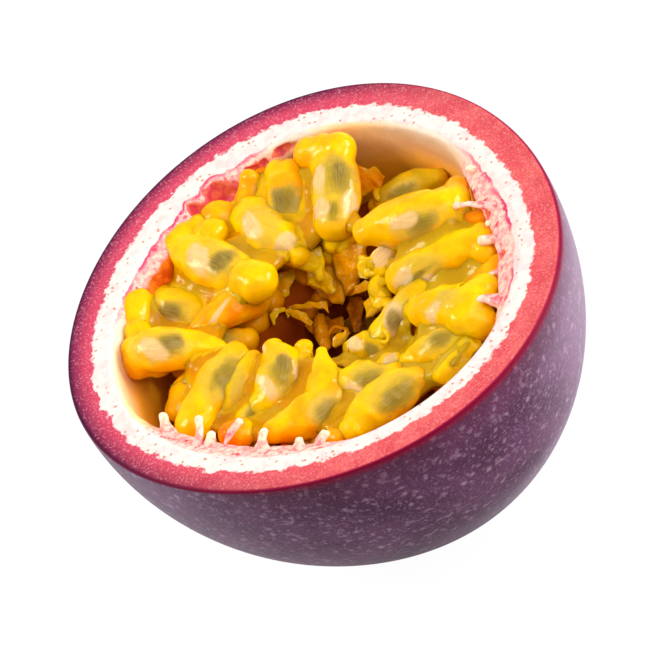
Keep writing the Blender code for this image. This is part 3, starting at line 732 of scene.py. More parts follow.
# Upper sacs, head to tip, as stations of (azimuth, distance, drop, half width). tone runs from
# 0, olive and clear, to 2, orange. A bulge is a lobe of the bag, (azimuth, distance, drop,
# radius), and creased is the depth of its sharp folds. A seed is (share of the way along,
# length, width). A mark is where the seed or the skin shows through the juice: its kind, share
# of the way along, millimetres to the left of the middle, half length, half width, and turn in
# degrees from the way along. The pale marks are partly the skin's own cream colour and partly
# painted reflection of the lamps. flat is a sac's height as a share of its width, and a sharp
# sac has corners and kinks.
UPPER_SACS = (
    dict(path=((117, 18.9, 2, 1.6), (118.5, 16.4, 2.1, 2.2), (119.5, 13.6, 2.3, 2.45),
         (120, 10.9, 2.6, 2.1), (120, 9.6, 2.8, 1.5)), tone=1, seeds=((0.5, 6, 4),),
         bulges=((109.5, 18.7, 2, 1.4), (113.5, 19, 1.8, 1.5), (117, 19.1, 1.8, 1.5),
                (109, 16.8, 2.1, 1.7)),
         marks=(("veil", 0.63, 0.1, 3.2, 2, 10), ("cream_and_reflection", 0.52, -0.4, 2.2, 1.3, -25),
                ("dark", 0.69, 0.3, 2.3, 1.4, 50), ("pip", 0.69, 0.3, 1.7, 1, 60))),
    dict(path=((121, 8.6, 2.3, 2.1), (121.5, 7.9, 2.3, 2.1)), tone=0.85),
    dict(path=((109.5, 19, 2.6, 1.1), (106, 18.6, 2.4, 1.5), (102.5, 18.1, 2.3, 1.7),
         (101, 16.2, 3.6, 1.3)), tone=1.4,
         marks=(("dark", 0.74, -1.1, 1.2, 0.5, 35),)),
    dict(path=((93.5, 16.8, 2.4, 1), (95, 14.4, 2.4, 1.9), (93.5, 11.8, 2.8, 2.3), (89.5, 10, 3.4, 2),
         (87, 8.9, 3.8, 1.2)), tone=0.8, creased=0.14, seeds=((0.35, 4.6, 3.6),),
         marks=(("veil", 0.5, 0, 2.9, 1.9, -5), ("cream_and_reflection", 0.46, -0.6, 1.8, 1, -10),
                ("cream_and_reflection", 0.8, -0.2, 1.7, 0.9, 90))),
    dict(path=((80, 18.4, 2, 1.4), (79.5, 16.4, 2.4, 2.15), (81.5, 14.6, 3.2, 2.3), (81.5, 12.8, 4.2, 1.8)),
         tone=1.1, seeds=((0.5, 5, 3.6),),
         bulges=((80.5, 18.5, 1.7, 1.2), (76.5, 17.8, 1.7, 1.3)),
         marks=(("veil", 0.64, 0.2, 2.3, 2, 0), ("dark", 0.57, 0, 2, 1.7, 0),
                ("pip", 0.54, -0.6, 1.3, 0.9, 20))),
    dict(path=((89, 19, 1.2, 1), (90.5, 18.6, 1.9, 1.2), (93, 17.8, 2.8, 1.6)), tone=1.4),
    dict(path=((85.5, 19.4, 2.2, 1), (87, 18.4, 2.8, 1.5), (90, 17.4, 3.4, 1.5)), tone=1.7),
    dict(path=((65.5, 18.4, 1.8, 1.9), (61.5, 16.1, 2, 2.3), (59.5, 12.7, 2.3, 2.4), (60, 10.2, 2.8, 2)),
         tone=1, seeds=((0.5, 5.4, 3.6),),
         bulges=((69, 18.6, 1.3, 1.75), (64.5, 18.3, 1.2, 1.75), (59.5, 17.8, 1.1, 1.75)),
         marks=(("veil", 0.56, 0, 2.9, 2.5, 5), ("dark", 0.55, 0.6, 2.8, 1.8, 5),
                ("cream_and_reflection", 0.55, -1.4, 2.1, 0.8, 0), ("veil", 0.82, 0.1, 1.8, 1.9, 0),
                ("cream_and_reflection", 0.8, -1.2, 1.3, 1, 20), ("dark", 0.83, 0.2, 1.6, 0.8, 5),
                ("cream_and_reflection", 0.76, 1.5, 1.3, 0.9, -10), ("pip", 0.53, 0.6, 1.7, 0.8, 5))),
    dict(path=((63, 13.4, 4, 1.8), (61, 9.9, 4.6, 1.6), (58, 9.1, 5, 1)), tone=0.9, creased=0.18),
    dict(path=((30, 17.8, 5, 1.1), (36, 16.8, 5.2, 1.6), (42.5, 15.4, 5.4, 1.45), (50, 14.5, 5.8, 0.9)),
         tone=-0.1, seeds=((0.55, 5, 2.4),),
         marks=(("veil", 0.5, 0.3, 2.4, 1, -5), ("dark", 0.5, 0.4, 2, 0.7, -5))),
    dict(path=((9, 16.4, 1.8, 1.2), (3.5, 14.3, 1.8, 2.4), (8, 11.7, 1.8, 2.7), (19, 10, 2, 2.4),
         (32, 8.4, 2.2, 1.4)), tone=1, seeds=((0.45, 4.8, 3.2),),
         bulges=((-2, 14.6, 2.4, 1.5),),
         marks=(("veil", 0.46, 1.1, 2.2, 1.6, 15), ("dark", 0.43, 1.2, 1.6, 1.2, 20),
                ("cream_and_reflection", 0.51, 0.8, 1.4, 0.8, 20))),
    dict(path=((-4, 15, 2.4, 0.9), (-7, 16.6, 2.6, 0.8)), tone=1.9),
    dict(path=((-17.5, 16.4, 2.5, 1.2), (-17, 14.4, 2.8, 1.7), (-17, 11.6, 3.2, 1.8), (-14, 8.8, 3.8, 1.7),
         (-13, 7.2, 4.3, 1.1)), tone=0.85, creased=0.16, seeds=((0.62, 6.4, 3),),
         bulges=((-21, 16.4, 3, 1.5), (-14.5, 16.2, 2.8, 1.2)),
         marks=(("veil", 0.62, 0.7, 2.8, 1.6, 0), ("cream_and_reflection", 0.79, 0.6, 1.5, 1, 0),
                ("dark", 0.62, 1, 2, 0.35, 15), ("cream_and_reflection", 0.57, 1.7, 0.8, 0.6, -10))),
    dict(path=((13, 8.8, 4.4, 1.4), (21, 7.2, 4.6, 1.5), (32, 6.4, 5, 1)), tone=0.7, creased=0.3,
         sharp=True,
         marks=(("cream_and_reflection", 0.46, 0, 1, 0.9, 55),)),
    dict(path=((-27, 9.4, 4.2, 1.3), (-44, 7.8, 4.4, 1.6), (-61, 6.6, 4.9, 1.2), (-71, 6.2, 5.3, 0.8)),
         tone=0.5, creased=0.18,
         marks=(("veil", 0.54, 0.3, 2.4, 1.5, 60), ("cream_and_reflection", 0.57, 0.3, 1.9, 1.1, 62),
                ("pip", 0.58, 0.3, 1.3, 0.9, 62))),
    dict(path=((-40, 17.4, 2, 1.3), (-47, 16.4, 2.1, 2.1), (-46, 13.8, 2.8, 2.1), (-47, 11.6, 3.2, 1.9),
         (-46, 9.8, 3.7, 1.1)), tone=0.65, creased=0.13, seeds=((0.62, 4.6, 3),),
         bulges=((-52, 16.8, 2.4, 1.9), (-51, 18.2, 2.8, 1.5)),
         marks=(("veil", 0.5, 0.3, 2.6, 1.2, 25), ("cream_and_reflection", 0.55, 1, 1.6, 1, 15))),
    dict(path=((-57, 17.2, 3.4, 1), (-61, 15.1, 3.6, 1.6), (-67, 13.2, 4.2, 1.5), (-72, 12.3, 4.6, 0.9)),
         tone=0.6, creased=0.17, seeds=((0.5, 4, 2.4),),
         marks=(("veil", 0.4, -0.2, 2, 1.3, 5), ("dark", 0.37, -0.2, 1.5, 1, 5),
                ("cream_and_reflection", 0.18, 1, 1, 0.5, 20))),
    dict(path=((-74, 10.8, 4.6, 0.8), (-77, 10.5, 4.6, 1), (-80.5, 10.2, 4.7, 0.8)), tone=0.5, creased=0.1,
         marks=(("cream_and_reflection", 0.4, 0.1, 1.1, 0.7, 55),)),
    dict(path=((-70, 7.5, 5.2, 0.9), (-77, 6.2, 5.2, 1.15), (-88, 5, 5.3, 1)), tone=0.2, creased=0.26,
         sharp=True, seeds=((0.5, 3.2, 2),),
         marks=(("dark", 0.25, 0.5, 0.8, 0.8, 0), ("cream_and_reflection", 0.69, -0.2, 1.1, 0.7, -45))),
    dict(path=((-81, 12.4, 4.2, 1.3), (-90.5, 11.5, 4.1, 1.85), (-98, 10.2, 4.2, 1.5)), tone=0.5,
         creased=0.17, seeds=((0.55, 4.6, 3.2),),
         marks=(("veil", 0.46, 0, 2.1, 1.5, 15), ("dark", 0.43, 0.2, 1.5, 1.1, 20),
                ("cream_and_reflection", 0.6, 1.2, 0.9, 0.8, -40))),
    dict(path=((-77.5, 15.3, 3.6, 1.4), (-85, 15.2, 3.6, 2.1), (-95, 15.6, 3.4, 2), (-102, 17, 3.2, 1.2)),
         tone=0.8, creased=0.09, seeds=((0.42, 5.4, 3.7),),
         marks=(("veil", 0.38, 0.3, 3.3, 1.9, 5), ("dark", 0.38, 0.8, 2.8, 1.4, 10))),
    dict(path=((-130, 15, 3.2, 1.3), (-123, 13.6, 3.6, 1.8), (-114, 12, 4, 2.1), (-111, 9.6, 3.2, 1.5),
         (-109, 7.3, 2, 0.5)), tone=1.1, creased=0.12, seeds=((0.45, 4.6, 3.2),),
         marks=(("veil", 0.46, -0.8, 1.8, 1.6, -50), ("dark", 0.46, -1.1, 1.3, 1.2, -50))),
    dict(path=((-134, 5.1, 3.4, 0.9), (-136, 6.4, 4, 1.3), (-137, 8.6, 4.6, 1.4)), tone=1, creased=0.12),
    dict(path=((-157, 6.5, 2.4, 1), (-145, 7.6, 2.8, 1.9), (-141, 9.8, 3.6, 2), (-145, 11.9, 4.4, 1.4)),
         tone=0.9, creased=0.13, seeds=((0.5, 5, 3.6),),
         marks=(("veil", 0.48, 0.4, 1.8, 1.9, 60), ("dark", 0.46, 0.6, 1.6, 1.4, 45),
                ("cream_and_reflection", 0.6, -0.8, 1.9, 0.7, 65), ("cream_and_reflection", 0.1, -1, 0.7, 0.6, 0),
                ("cream_and_reflection", 0.46, 2, 0.9, 0.5, 0), ("pip", 0.38, 0.6, 1.1, 0.9, 45))),
    dict(path=((-171, 8.2, 3.2, 0.9), (-165, 10.7, 3.8, 1.3), (-162, 13.1, 4.4, 1.2)), tone=0.9,
         marks=(("veil", 0.57, 0.2, 2.2, 0.7, 15),)),
    dict(path=((177, 9.3, 3, 1.2), (-176, 11.6, 3.2, 1.7), (-169.5, 14.2, 3.7, 2.05),
         (-165.5, 16.2, 3.9, 1.9)), tone=1, creased=0.12, seeds=((0.45, 4.8, 3),),
         marks=(("veil", 0.4, 0.6, 3.2, 1.9, 0), ("dark", 0.37, 0.7, 2.5, 1.2, 0))),
    dict(path=((157, 18.7, 2, 1.4), (160, 16.3, 2, 2.2), (161, 13.5, 2.8, 1.9), (165, 10.8, 3.6, 0.9)),
         tone=1, creased=0.08, seeds=((0.42, 4.8, 3.4),),
         bulges=((151, 18.6, 2.2, 1.5), (160, 18.4, 2.6, 1.65), (159.5, 16.9, 3.4, 1.6)),
         marks=(("veil", 0.46, -0.2, 2.8, 1.7, 5), ("dark", 0.51, 0, 2.1, 1.4, 5),
                ("pip", 0.53, 0.1, 1.5, 1, 5), ("cream_and_reflection", 0.39, -0.4, 1.5, 1, -50))),
    dict(path=((134, 19.2, 2.2, 1.1), (138, 19.5, 1.8, 1.5), (143, 19.6, 1.8, 1.7), (148, 19.4, 2.2, 1.6)),
         tone=1.2),
    dict(path=((133, 19.4, 3, 1.2), (136, 17.1, 3.4, 1.9), (138, 14.4, 4.2, 1.8)), tone=0.7,
         seeds=((0.6, 4.8, 3.2),),
         marks=(("veil", 0.63, -1.1, 2.4, 1.7, 30), ("dark", 0.6, -0.9, 1.9, 1.3, 15),
                ("pip", 0.58, -0.9, 1.4, 0.8, 10), ("cream_and_reflection", 0.6, -1.9, 1.5, 0.8, 20))),
    dict(path=((147, 13.2, 3.6, 0.8), (144, 11.9, 3.5, 1.3), (136, 10.2, 3.6, 1.8), (127, 9.2, 4.4, 1.8)),
         tone=1.4,
         marks=(("cream_and_reflection", 0.37, -0.3, 1.8, 0.35, 25),)),
    dict(path=((131, 19.8, 2.6, 0.8), (131, 19.2, 3.2, 1), (130, 18, 4.2, 1.2)), tone=1.8),
    dict(path=((167, 13.5, 5.2, 1.1), (171, 15.5, 5.2, 1.3), (178, 16.5, 5.4, 1.2)), tone=1.2,
         seeds=((0.25, 2.8, 1.8),),
         marks=(("dark", 0.34, 0, 1.1, 0.6, -15), ("cream_and_reflection", 0.88, 0.4, 0.6, 0.5, 30))),
    dict(path=((-146, 11.4, 4.2, 1.2), (-149, 13.1, 4.2, 1.2)), tone=0.9,
         marks=(("veil", 0.66, 0.3, 1.1, 1.1, 70), ("dark", 0.66, 0.3, 0.7, 0.7, 70))),
    dict(path=((-145, 15.9, 2.9, 1.5), (-144, 15.7, 3, 1.6)), tone=1.6),
    dict(path=((-58, 17.6, 3.2, 1), (-64, 17.8, 3.2, 1.3), (-70, 17.8, 3.4, 1.2)), tone=0.4, creased=0.26,
         flat=0.6, sharp=True),
    dict(path=((-28, 17.6, 3.2, 1.1), (-31, 16.8, 3.6, 1.5), (-33, 15.2, 4.4, 1.4)), tone=1.4),
    dict(path=((-109, 16.6, 3.4, 0.7), (-107, 17.1, 3.4, 0.7)), tone=1.6),
)

SAC_ROWS = 52
SAC_COLUMNS = 44
LOWER_ROWS = 20
LOWER_COLUMNS = 14
SEED_ROWS = 22
SEED_COLUMNS = 24
END_TURN = 0.05             # radians from a sac's very ends to its first and last rings
SEED_END_TURN = 0.06
SPINE_STEPS = 61
SAC_FLATNESS = 0.88
FILM = 0.2                  # thickness of the skin over a seed
SEED_FLATNESS = 0.6
SEED_TAPER = 0.16           # how much wider one end of a seed is, and how much narrower the other
FOLD = 0.35                 # rounding where a seed or a lobe meets the bag
KINK = 0.35                 # how far a sharp sac or strand strays from its smooth line
CREASED = 0.02              # depth of the folds of a sac that states none
TIP_CREASED = 0.06          # how much deeper they are towards its tip
WET_FILLET = 0.8            # how far apart two sacs start to run together
WET_SHARE = 0.94            # share of a neighbour's half width that the gap is measured from
HEAD_TONE = 0.3             # how much more orange a sac is at its head
TIP_TONE = 0.2              # and how much clearer at its tip
OPEN_SIDE = (0.0, -0.5, 0.87)   # the way that the skins over the seeds face
# kinds of mark; the pale one is partly painted reflection of the lamps
KINDS = ("veil", "dark", "cream_and_reflection", "pip")

# Rings of plainer sacs below: count, first azimuth, distance of head and tip, drop, half width, tone.
LOWER_RINGS = ((18, 10.0, 15.6, 9.6, 6.8, 2.1, 1.0), (13, 0.0, 12.4, 7.6, 9.8, 1.9, 0.9),
               (9, 0.0, 10.0, 5.6, 12.6, 1.8, 0.8))
BARE_WALL = (50.0, 9.0)     # azimuth, and degrees to each side, where the wall shows
BARE_WALL_DROP = 8.0        # and the drop down to which it shows
LOWER_SEED = (4.8, 3.0)
LOWER_CREASED = 0.12


def seed_frame(line, seed, side, up):
    """Middle, axes and half sizes of a seed that lies near the open side of its bag."""
    share, length, width = seed
    i = int(round(share * (len(line) - 1)))
    half = np.array([length, width, width * SEED_FLATNESS]) / 2.0
    middle = line[i, :3] + up[i] * max(line[i, 3] * SAC_FLATNESS - FILM - half[2], 0.0)
    return middle, np.stack([np.cross(side[i], up[i]), side[i], up[i]]), half


def exit_distance(start, direction, middle, axes, half):
    """How far along a direction from start the surface of an ellipsoid is left; 0 if missed."""
    a = np.einsum("...j,kj->...k", start - middle, axes) / half
    b = np.einsum("...j,kj->...k", direction, axes) / half
    bb, ab, aa = (b * b).sum(-1), (a * b).sum(-1), (a * a).sum(-1)
    root = ab * ab - bb * (aa - 1.0)
    return np.where(root > 0.0, (-ab + np.sqrt(np.maximum(root, 0.0))) / bb, 0.0)


def soft_max(a, b):
    """The larger of two lengths, rounded where they are alike."""
    alike = np.clip(1.0 - np.abs(a - b) / FOLD, 0.0, 1.0)
    return np.maximum(a, b) + 0.25 * FOLD * alike * alike


def sac_spine(sac):
    """Even (x, y, z, half width) steps along a sac, with its round ends added."""
    stations = [[*place(a, d, z), w] for a, d, z, w in sac["path"]]
    line = spine_points(stations, SPINE_STEPS)
    along = unit_vectors(np.gradient(line[:, :3], axis=0))
    head = np.append(line[0, :3] - along[0] * line[0, 3], line[0, 3])
    tip = np.append(line[-1, :3] + along[-1] * line[-1, 3], line[-1, 3])
    line = np.concatenate([[head], line, [tip]])
    if sac.get("sharp"):
        stray = [ripple(line[:, :3], 1.3, sac["path"][0][0] + 11.0 * k) for k in range(3)]
        line[:, :3] += KINK * np.stack(stray, -1)
    return line


def sac_rings(sac, number, rows, columns):
    """Rings of a bag along its stations, pushed out by its seeds and lobes.

    Returns the points, their outward directions, the seeds and the points' flat coordinates:
    millimetres along the way and to the left, which points are hidden, and the way's length.
    """
    line = sac_spine(sac)
    way = np.concatenate([[0.0], np.cumsum(np.linalg.norm(np.diff(line[:, :3], axis=0), axis=1))])
    total = way[-1]
    steps = total * (0.5 - 0.5 * np.cos(np.linspace(END_TURN, math.pi - END_TURN, rows)))
    centre = np.stack([np.interp(steps, way, line[:, k]) for k in range(4)], -1)
    into = np.minimum(1.0, steps / line[0, 3])
    out = np.minimum(1.0, (total - steps) / line[-1, 3])
    rounding = np.sqrt(1.0 - (1.0 - into) ** 2) * np.sqrt(1.0 - (1.0 - out) ** 2)
    side, up = crosswise(centre[:, :3])
    turn = np.linspace(0.0, TAU, columns, endpoint=False)
    direction = (side[:, None, :] * np.cos(turn)[None, :, None]
                 + up[:, None, :] * np.sin(turn)[None, :, None] * sac.get("flat", SAC_FLATNESS))
    length = np.linalg.norm(direction, axis=-1)
    unit = direction / length[..., None]
    reach = centre[:, 3, None] * rounding[:, None] * length
    if sac.get("sharp"):
        reach = reach / (np.abs(np.cos(turn)) + np.abs(np.sin(turn)))[None, :]
    start = centre[:, None, :3]
    open_side, open_up = crosswise(centre[:, :3], OPEN_SIDE)
    seeds = [seed_frame(centre, seed, open_side, open_up) for seed in sac.get("seeds", ())]
    lobes = [(middle, axes, half + FILM) for middle, axes, half in seeds]
    lobes += [(place(a, d, z), np.eye(3), np.full(3, r)) for a, d, z, r in sac.get("bulges", ())]
    for lobe in lobes:
        reach = soft_max(reach, exit_distance(start, unit, *lobe))
    points = start + unit * reach[..., None]
    toward_tip = smooth_step(0.3, 1.0, steps / total)[:, None]
    folds = folds_at(points, 1.9, number + 70.0)
    lumps = ripple(points, 2.6, number + 1.0) * 0.20 + ripple(points, 1.1, number + 40.0) * 0.06
    lumps = lumps + folds * (sac.get("creased", CREASED) + TIP_CREASED * toward_tip)
    points += unit * (lumps * rounding[:, None])[..., None]
    left = ((points - start) * open_side[:, None, :]).sum(-1)
    hidden = ((points - start) * open_up[:, None, :]).sum(-1) < 0.0
    along = np.broadcast_to(steps[:, None], left.shape)
    return points, unit, seeds, (along, left, hidden, total)


def run_together(points, unit, number, spines):
    """Swell a sac where it nears its neighbours, so that the wet skins meet in a fillet."""
    flat = points.reshape(-1, 3)
    swell = np.zeros(len(flat))
    low, high = flat.min(0) - WET_FILLET, flat.max(0) + WET_FILLET
    for other, spine in enumerate(spines):
        balls = spine[::3]
        close = ((balls[:, :3] + balls[:, 3:] > low) & (balls[:, :3] - balls[:, 3:] < high)).all(1)
        if other == number or not close.any():
            continue
        balls = balls[close]
        gap = np.linalg.norm(flat[:, None, :] - balls[None, :, :3], axis=-1)
        gap -= balls[None, :, 3] * WET_SHARE
        share = np.clip(1.0 - np.abs(gap.min(1)) / WET_FILLET, 0.0, 1.0)
        swell = np.maximum(swell, 0.25 * WET_FILLET * share * share)
    return points + unit * swell.reshape(points.shape[:-1])[..., None]


def mark_values(sac, flat):
    """How far inside a mark of each kind the points of a bag are: 1 in its middle, 0 at its edge."""
    along, left, hidden, total = flat
    values = {kind: np.full(along.shape, -1.0) for kind in KINDS}
    for kind, share, aside, half_length, half_width, turn in sac.get("marks", ()):
        du, dv = along - share * total, left - aside
        cosine, sine = math.cos(math.radians(turn)), math.sin(math.radians(turn))
        reach = np.hypot((du * cosine + dv * sine) / half_length, (dv * cosine - du * sine) / half_width)
        values[kind] = np.maximum(values[kind], np.where(hidden, -1.0, 1.0 - reach))
    return dict(values, seed_u=along, seed_v=left)


def seed_rings(seed):
    """Rings of a flattened pip with one narrower end."""
    middle, axes, half = seed
    turn = np.linspace(0.0, TAU, SEED_COLUMNS, endpoint=False)[None, :]
    way = -np.cos(np.linspace(SEED_END_TURN, math.pi - SEED_END_TURN, SEED_ROWS))[:, None]
    radius = np.sqrt(1.0 - way * way) * (1.0 - SEED_TAPER * way)
    local = np.stack(np.broadcast_arrays(way, radius * np.cos(turn), radius * np.sin(turn)), -1)
    return middle + (local * half) @ axes


def lower_sacs():
    """Plainer sacs under the upper ones, in rings down the side of the hollow."""
    chance = random.Random(7)
    for count, first, head, tip, drop, width, tone in LOWER_RINGS:
        for number in range(count):
            azimuth = first + 360.0 * (number + chance.uniform(-0.25, 0.25)) / count
            if abs(degrees_apart(azimuth, BARE_WALL[0])) < BARE_WALL[1] and drop < BARE_WALL_DROP:
                continue
            sway, dip = chance.uniform(-14.0, 14.0), chance.uniform(-0.8, 0.8)
            wide = width * chance.uniform(0.9, 1.12)
            path = ((azimuth, head, drop + dip, wide * 0.8),
                    (azimuth + 0.4 * sway, 0.6 * head + 0.4 * tip, drop, wide),
                    (azimuth + sway, tip, drop - dip, wide * 0.6))
            share, size = chance.uniform(0.35, 0.6), chance.uniform(0.9, 1.2)
            yield dict(path=path, tone=tone + chance.uniform(-0.3, 0.3), creased=LOWER_CREASED,
                       seeds=((share, *LOWER_SEED),),
                       marks=(("veil", share, 0.0, 2.6 * size, 1.5 * size, 0),
                              ("dark", share, 0.2, 1.8 * size, 1.1 * size, 0)))


def sac_pieces(sac_look, seed_look):
    """All the bags in one piece and their seeds in another; returns the bags' spines."""
    bags, pips = Heap(), Heap()
    whole = [(sac, SAC_ROWS, SAC_COLUMNS) for sac in UPPER_SACS]
    whole += [(sac, LOWER_ROWS, LOWER_COLUMNS) for sac in lower_sacs()]
    spines = [sac_spine(sac) for sac, _, _ in whole]
    for number, (sac, rows, columns) in enumerate(whole):
        points, unit, seeds, flat = sac_rings(sac, number, rows, columns)
        points = run_together(points, unit, number, spines)
        along = np.linspace(0.0, 1.0, rows)[:, None]
        tone = (sac["tone"] + HEAD_TONE * (1.0 - smooth_step(0.0, 0.35, along))
                - TIP_TONE * smooth_step(0.6, 1.0, along))
        bags.add(points, tone=tone, depth=RIM_Z - points[..., 2], **mark_values(sac, flat))
        for seed in seeds:
            pips.add(seed_rings(seed))
    sacs = bags.make("juice_sacs", sac_look, "pulp")
    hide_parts("pulp")
    pips.make("seeds", seed_look, "pulp")
    return spines


# ---------------------------------------------------------------- torn skins in the hollow

FLAP_ROWS = 32
FLAP_COLUMNS = 14
FLAP_BODY = 0.35            # thickness of a torn sheet
FLAP_TEAR = 0.35            # how far its sides stray from straight
FLAP_FOLD = 0.3             # how far it is folded out of its plane
TAIL_ROWS = 34
TAIL_COLUMNS = 16

# Torn skins and strands in the hollow: how bright, how flat, and stations like those of a sac.
# Brightness runs from 0, dark brown, to 1, clear yellow; it is partly the skins' own colour and partly
# painted shade of the hollow.
TAILS = (
    (0.94, 0.6, ((12, 6.4, 5.2, 0.9), (6, 5.4, 5.6, 1), (-12, 5.2, 6, 0.5))),
    (0.9, 0.6, ((8, 5, 6, 0.7), (-6, 4.6, 6, 0.9), (-20, 5.4, 5.6, 0.6))),
    (0.55, 0.6, ((100, 5.8, 9.6, 0.7), (112, 4.3, 9.8, 0.7), (127, 3.1, 10, 0.5))),
    (0.4, 0.5, ((114, 2.4, 8.6, 0.16), (96, 2.6, 8.6, 0.18), (74, 2.1, 8.6, 0.18), (44, 1, 8.4, 0.16))),
    (0.95, 0.7, ((-68, 6, 4.4, 0.15), (-63, 6.5, 4.1, 0.16), (-63, 7.6, 3.8, 0.18), (-65.5, 8.6, 3.8, 0.16),
     (-69, 8.4, 4.1, 0.16), (-70, 7.1, 4.3, 0.15))),
)

# Torn sheets in the hollow: how bright, then rows from one end to the other, each a left and a
# right side as (azimuth, distance, drop).
FLAPS = (
    (1, (((92, 8.7, 4.6), (82, 9.1, 4.2)), ((87, 8.1, 5.4), (73, 9.2, 4.4)), ((84, 7.4, 5.8),
     (74, 7.7, 5.2)), ((82, 6.5, 6.2), (78, 6.3, 6)))),
    (0.92, (((88, 8.8, 6), (76, 8, 5.6)), ((91, 7.8, 6.6), (74, 7, 6)), ((86, 6.5, 7), (73, 6.2, 6.6)),
     ((76, 5.5, 7.4), (72, 5.6, 7.2)))),
    (0.7, (((91, 8.5, 7.2), (71, 8.9, 6.2)), ((88, 6.8, 7.8), (69, 7.6, 7.2)), ((80, 5.4, 8.2),
     (66, 6.4, 7.8)), ((72, 5, 8.6), (67, 5.6, 8.4)))),
    (0.62, (((70, 9.2, 4.8), (41, 9, 4.4)), ((69, 7.4, 6.4), (40, 7.4, 5.6)), ((67, 6.1, 7.6),
     (48, 6.3, 7)), ((65, 5.6, 8.2), (61, 5.5, 8)))),
    (1, (((43, 7, 4.4), (32, 7, 4.2)), ((42, 6.1, 5), (27, 6, 4.6)), ((38, 5.5, 5.6), (26, 5.2, 5.2)))),
    (0.66, (((64, 5.9, 8.2), (63, 5.7, 8.4)), ((55, 5.9, 7.6), (48, 5.4, 7.8)), ((40, 6.1, 6.8),
     (26, 5.7, 6.6)))),
    (0.8, (((16, 5.5, 5.6), (4, 5.9, 5.4)), ((20, 4.2, 6.6), (-13, 5.5, 6)), ((30, 3.8, 7.2),
     (-13, 5.2, 6.6)), ((9, 2.8, 7.8), (0, 3.7, 7.6)))),
    (0.3, (((70, 6.5, 9), (53, 5.8, 8.8)), ((72, 5.5, 9.6), (50, 4.4, 9.4)), ((72, 4, 10.2), (52, 3.5, 10)),
     ((68, 3.1, 10.6), (60, 2.8, 10.5)))),
    (0.74, (((110, 8, 7.6), (111, 8, 7.8)), ((100, 6.7, 7.8), (102, 6.5, 8)), ((88, 6, 8), (92, 5.4, 8.2)),
     ((86, 5.8, 8.2), (89, 4.6, 8.4)))),
    (0.8, (((113, 7.5, 7.2), (115, 7.8, 7.4)), ((108, 6.6, 7.6), (116, 6.8, 7.8)), ((110, 5.2, 8),
     (116, 5.6, 8.2)), ((110, 4.9, 8.4), (116, 5, 8.6)))),
    (0.94, (((125, 8.3, 6.6), (132, 7.5, 7)), ((117, 8.6, 7), (120, 7.9, 7.2)), ((113, 8.1, 7.2),
     (116, 7.7, 7.4)), ((116, 7.1, 7.6), (118, 7.2, 7.8)))),
    (0.4, (((104, 8.6, 9.6), (110, 7.6, 9.8)), ((98, 7.4, 10), (116, 5.1, 10.2)), ((91, 6.1, 10.4),
     (116, 3.7, 10.6)), ((78, 4.9, 10.2), (82, 4.1, 10.4)))),
    (0.76, (((70, 1.8, 8.8), (60, 1.4, 8.8)), ((97, 2.1, 9), (84, 0.9, 9)), ((111, 2.2, 9.2),
     (129, 0.9, 9.2)), ((133, 1.7, 9.4), (144, 1.3, 9.4)))),
    (0.82, (((101, 10.9, 6.4), (91, 10.2, 6.2)), ((107, 9.9, 6.8), (98, 9.3, 6.8)), ((116, 9.6, 7.2),
     (115, 8.5, 7.4)))),
    (0.58, (((56, 17.3, 2.9), (56, 15, 4.8)), ((50, 17.2, 3.2), (52, 15.4, 4.8)), ((46, 16.3, 3.6),
     (48, 15.9, 4.6)))),
)

def flap_rings(rows, number):
    """Rings round a torn and folded sheet, front and back."""
    ends = np.array([[place(*left), place(*right)] for left, right in rows])
    way, known = np.linspace(0.0, len(rows) - 1.0, FLAP_ROWS), np.arange(len(rows))
    left, right = (np.stack([np.interp(way, known, ends[:, side, k]) for k in range(3)], -1)
                   for side in (0, 1))
    share = np.linspace(0.0, 1.0, FLAP_COLUMNS)[None, :, None]
    sheet = left[:, None] * (1.0 - share) + right[:, None] * share
    tear = FLAP_TEAR * ripple(sheet, 0.9, number)[..., None] * (2.0 * share - 1.0)
    sheet = sheet + tear * unit_vectors(right - left)[:, None]
    normal = np.cross(np.gradient(sheet, axis=1), np.gradient(sheet, axis=0))
    normal /= np.maximum(np.linalg.norm(normal, axis=-1, keepdims=True), 1e-6)
    folds = folds_at(sheet, 1.8, number + 30.0) + 0.4 * ripple(sheet, 0.6, number + 60.0)
    sheet = sheet + normal * (FLAP_FOLD * folds)[..., None]
    body = FLAP_BODY * np.sqrt(np.maximum(1.0 - (2.0 * share - 1.0) ** 2, 0.04))
    return np.concatenate([sheet, (sheet - normal * body)[:, ::-1]], axis=1)


def tail_piece(look):
    """The torn skins and strands that hang in the hollow."""
    heap = Heap()
    for number, (bright, flat, path) in enumerate(TAILS):
        sac = dict(path=path, flat=flat, creased=0.05, sharp=True)
        heap.add(sac_rings(sac, number + 200, TAIL_ROWS, TAIL_COLUMNS)[0], bright=bright)
    for number, (bright, rows) in enumerate(FLAPS):
        heap.add(flap_rings(rows, number + 300), bright=bright)
    heap.make("torn_skins", look, "pulp")


# ---------------------------------------------------------------- juice between the sacs

CELL = 0.25                 # grid step of the film
BALL = 1.8                  # the juice takes the form that a ball of this radius can reach
FILM_SINK = 0.34            # how far the juice stands under the skins that it joins
FILM_LOWEST = 6.6           # drop below which no film spans the hollow
FILM_STEEPEST = 2.2         # rise over run past which it is a sac's own side that shows
FILM_BODY = 0.5
FILM_PASSES = 3
BORDER_PASSES = 14
BORDER_DROP = 0.25
FILM_INTO_WALL = 0.2
NO_SAC = 30.0               # drop that stands for a place without a sac
FAR = 99.0                  # height past every other one
CLEAR_SIDE = (-48.0, 60.0)  # azimuth and spread of where the juice is thin and olive


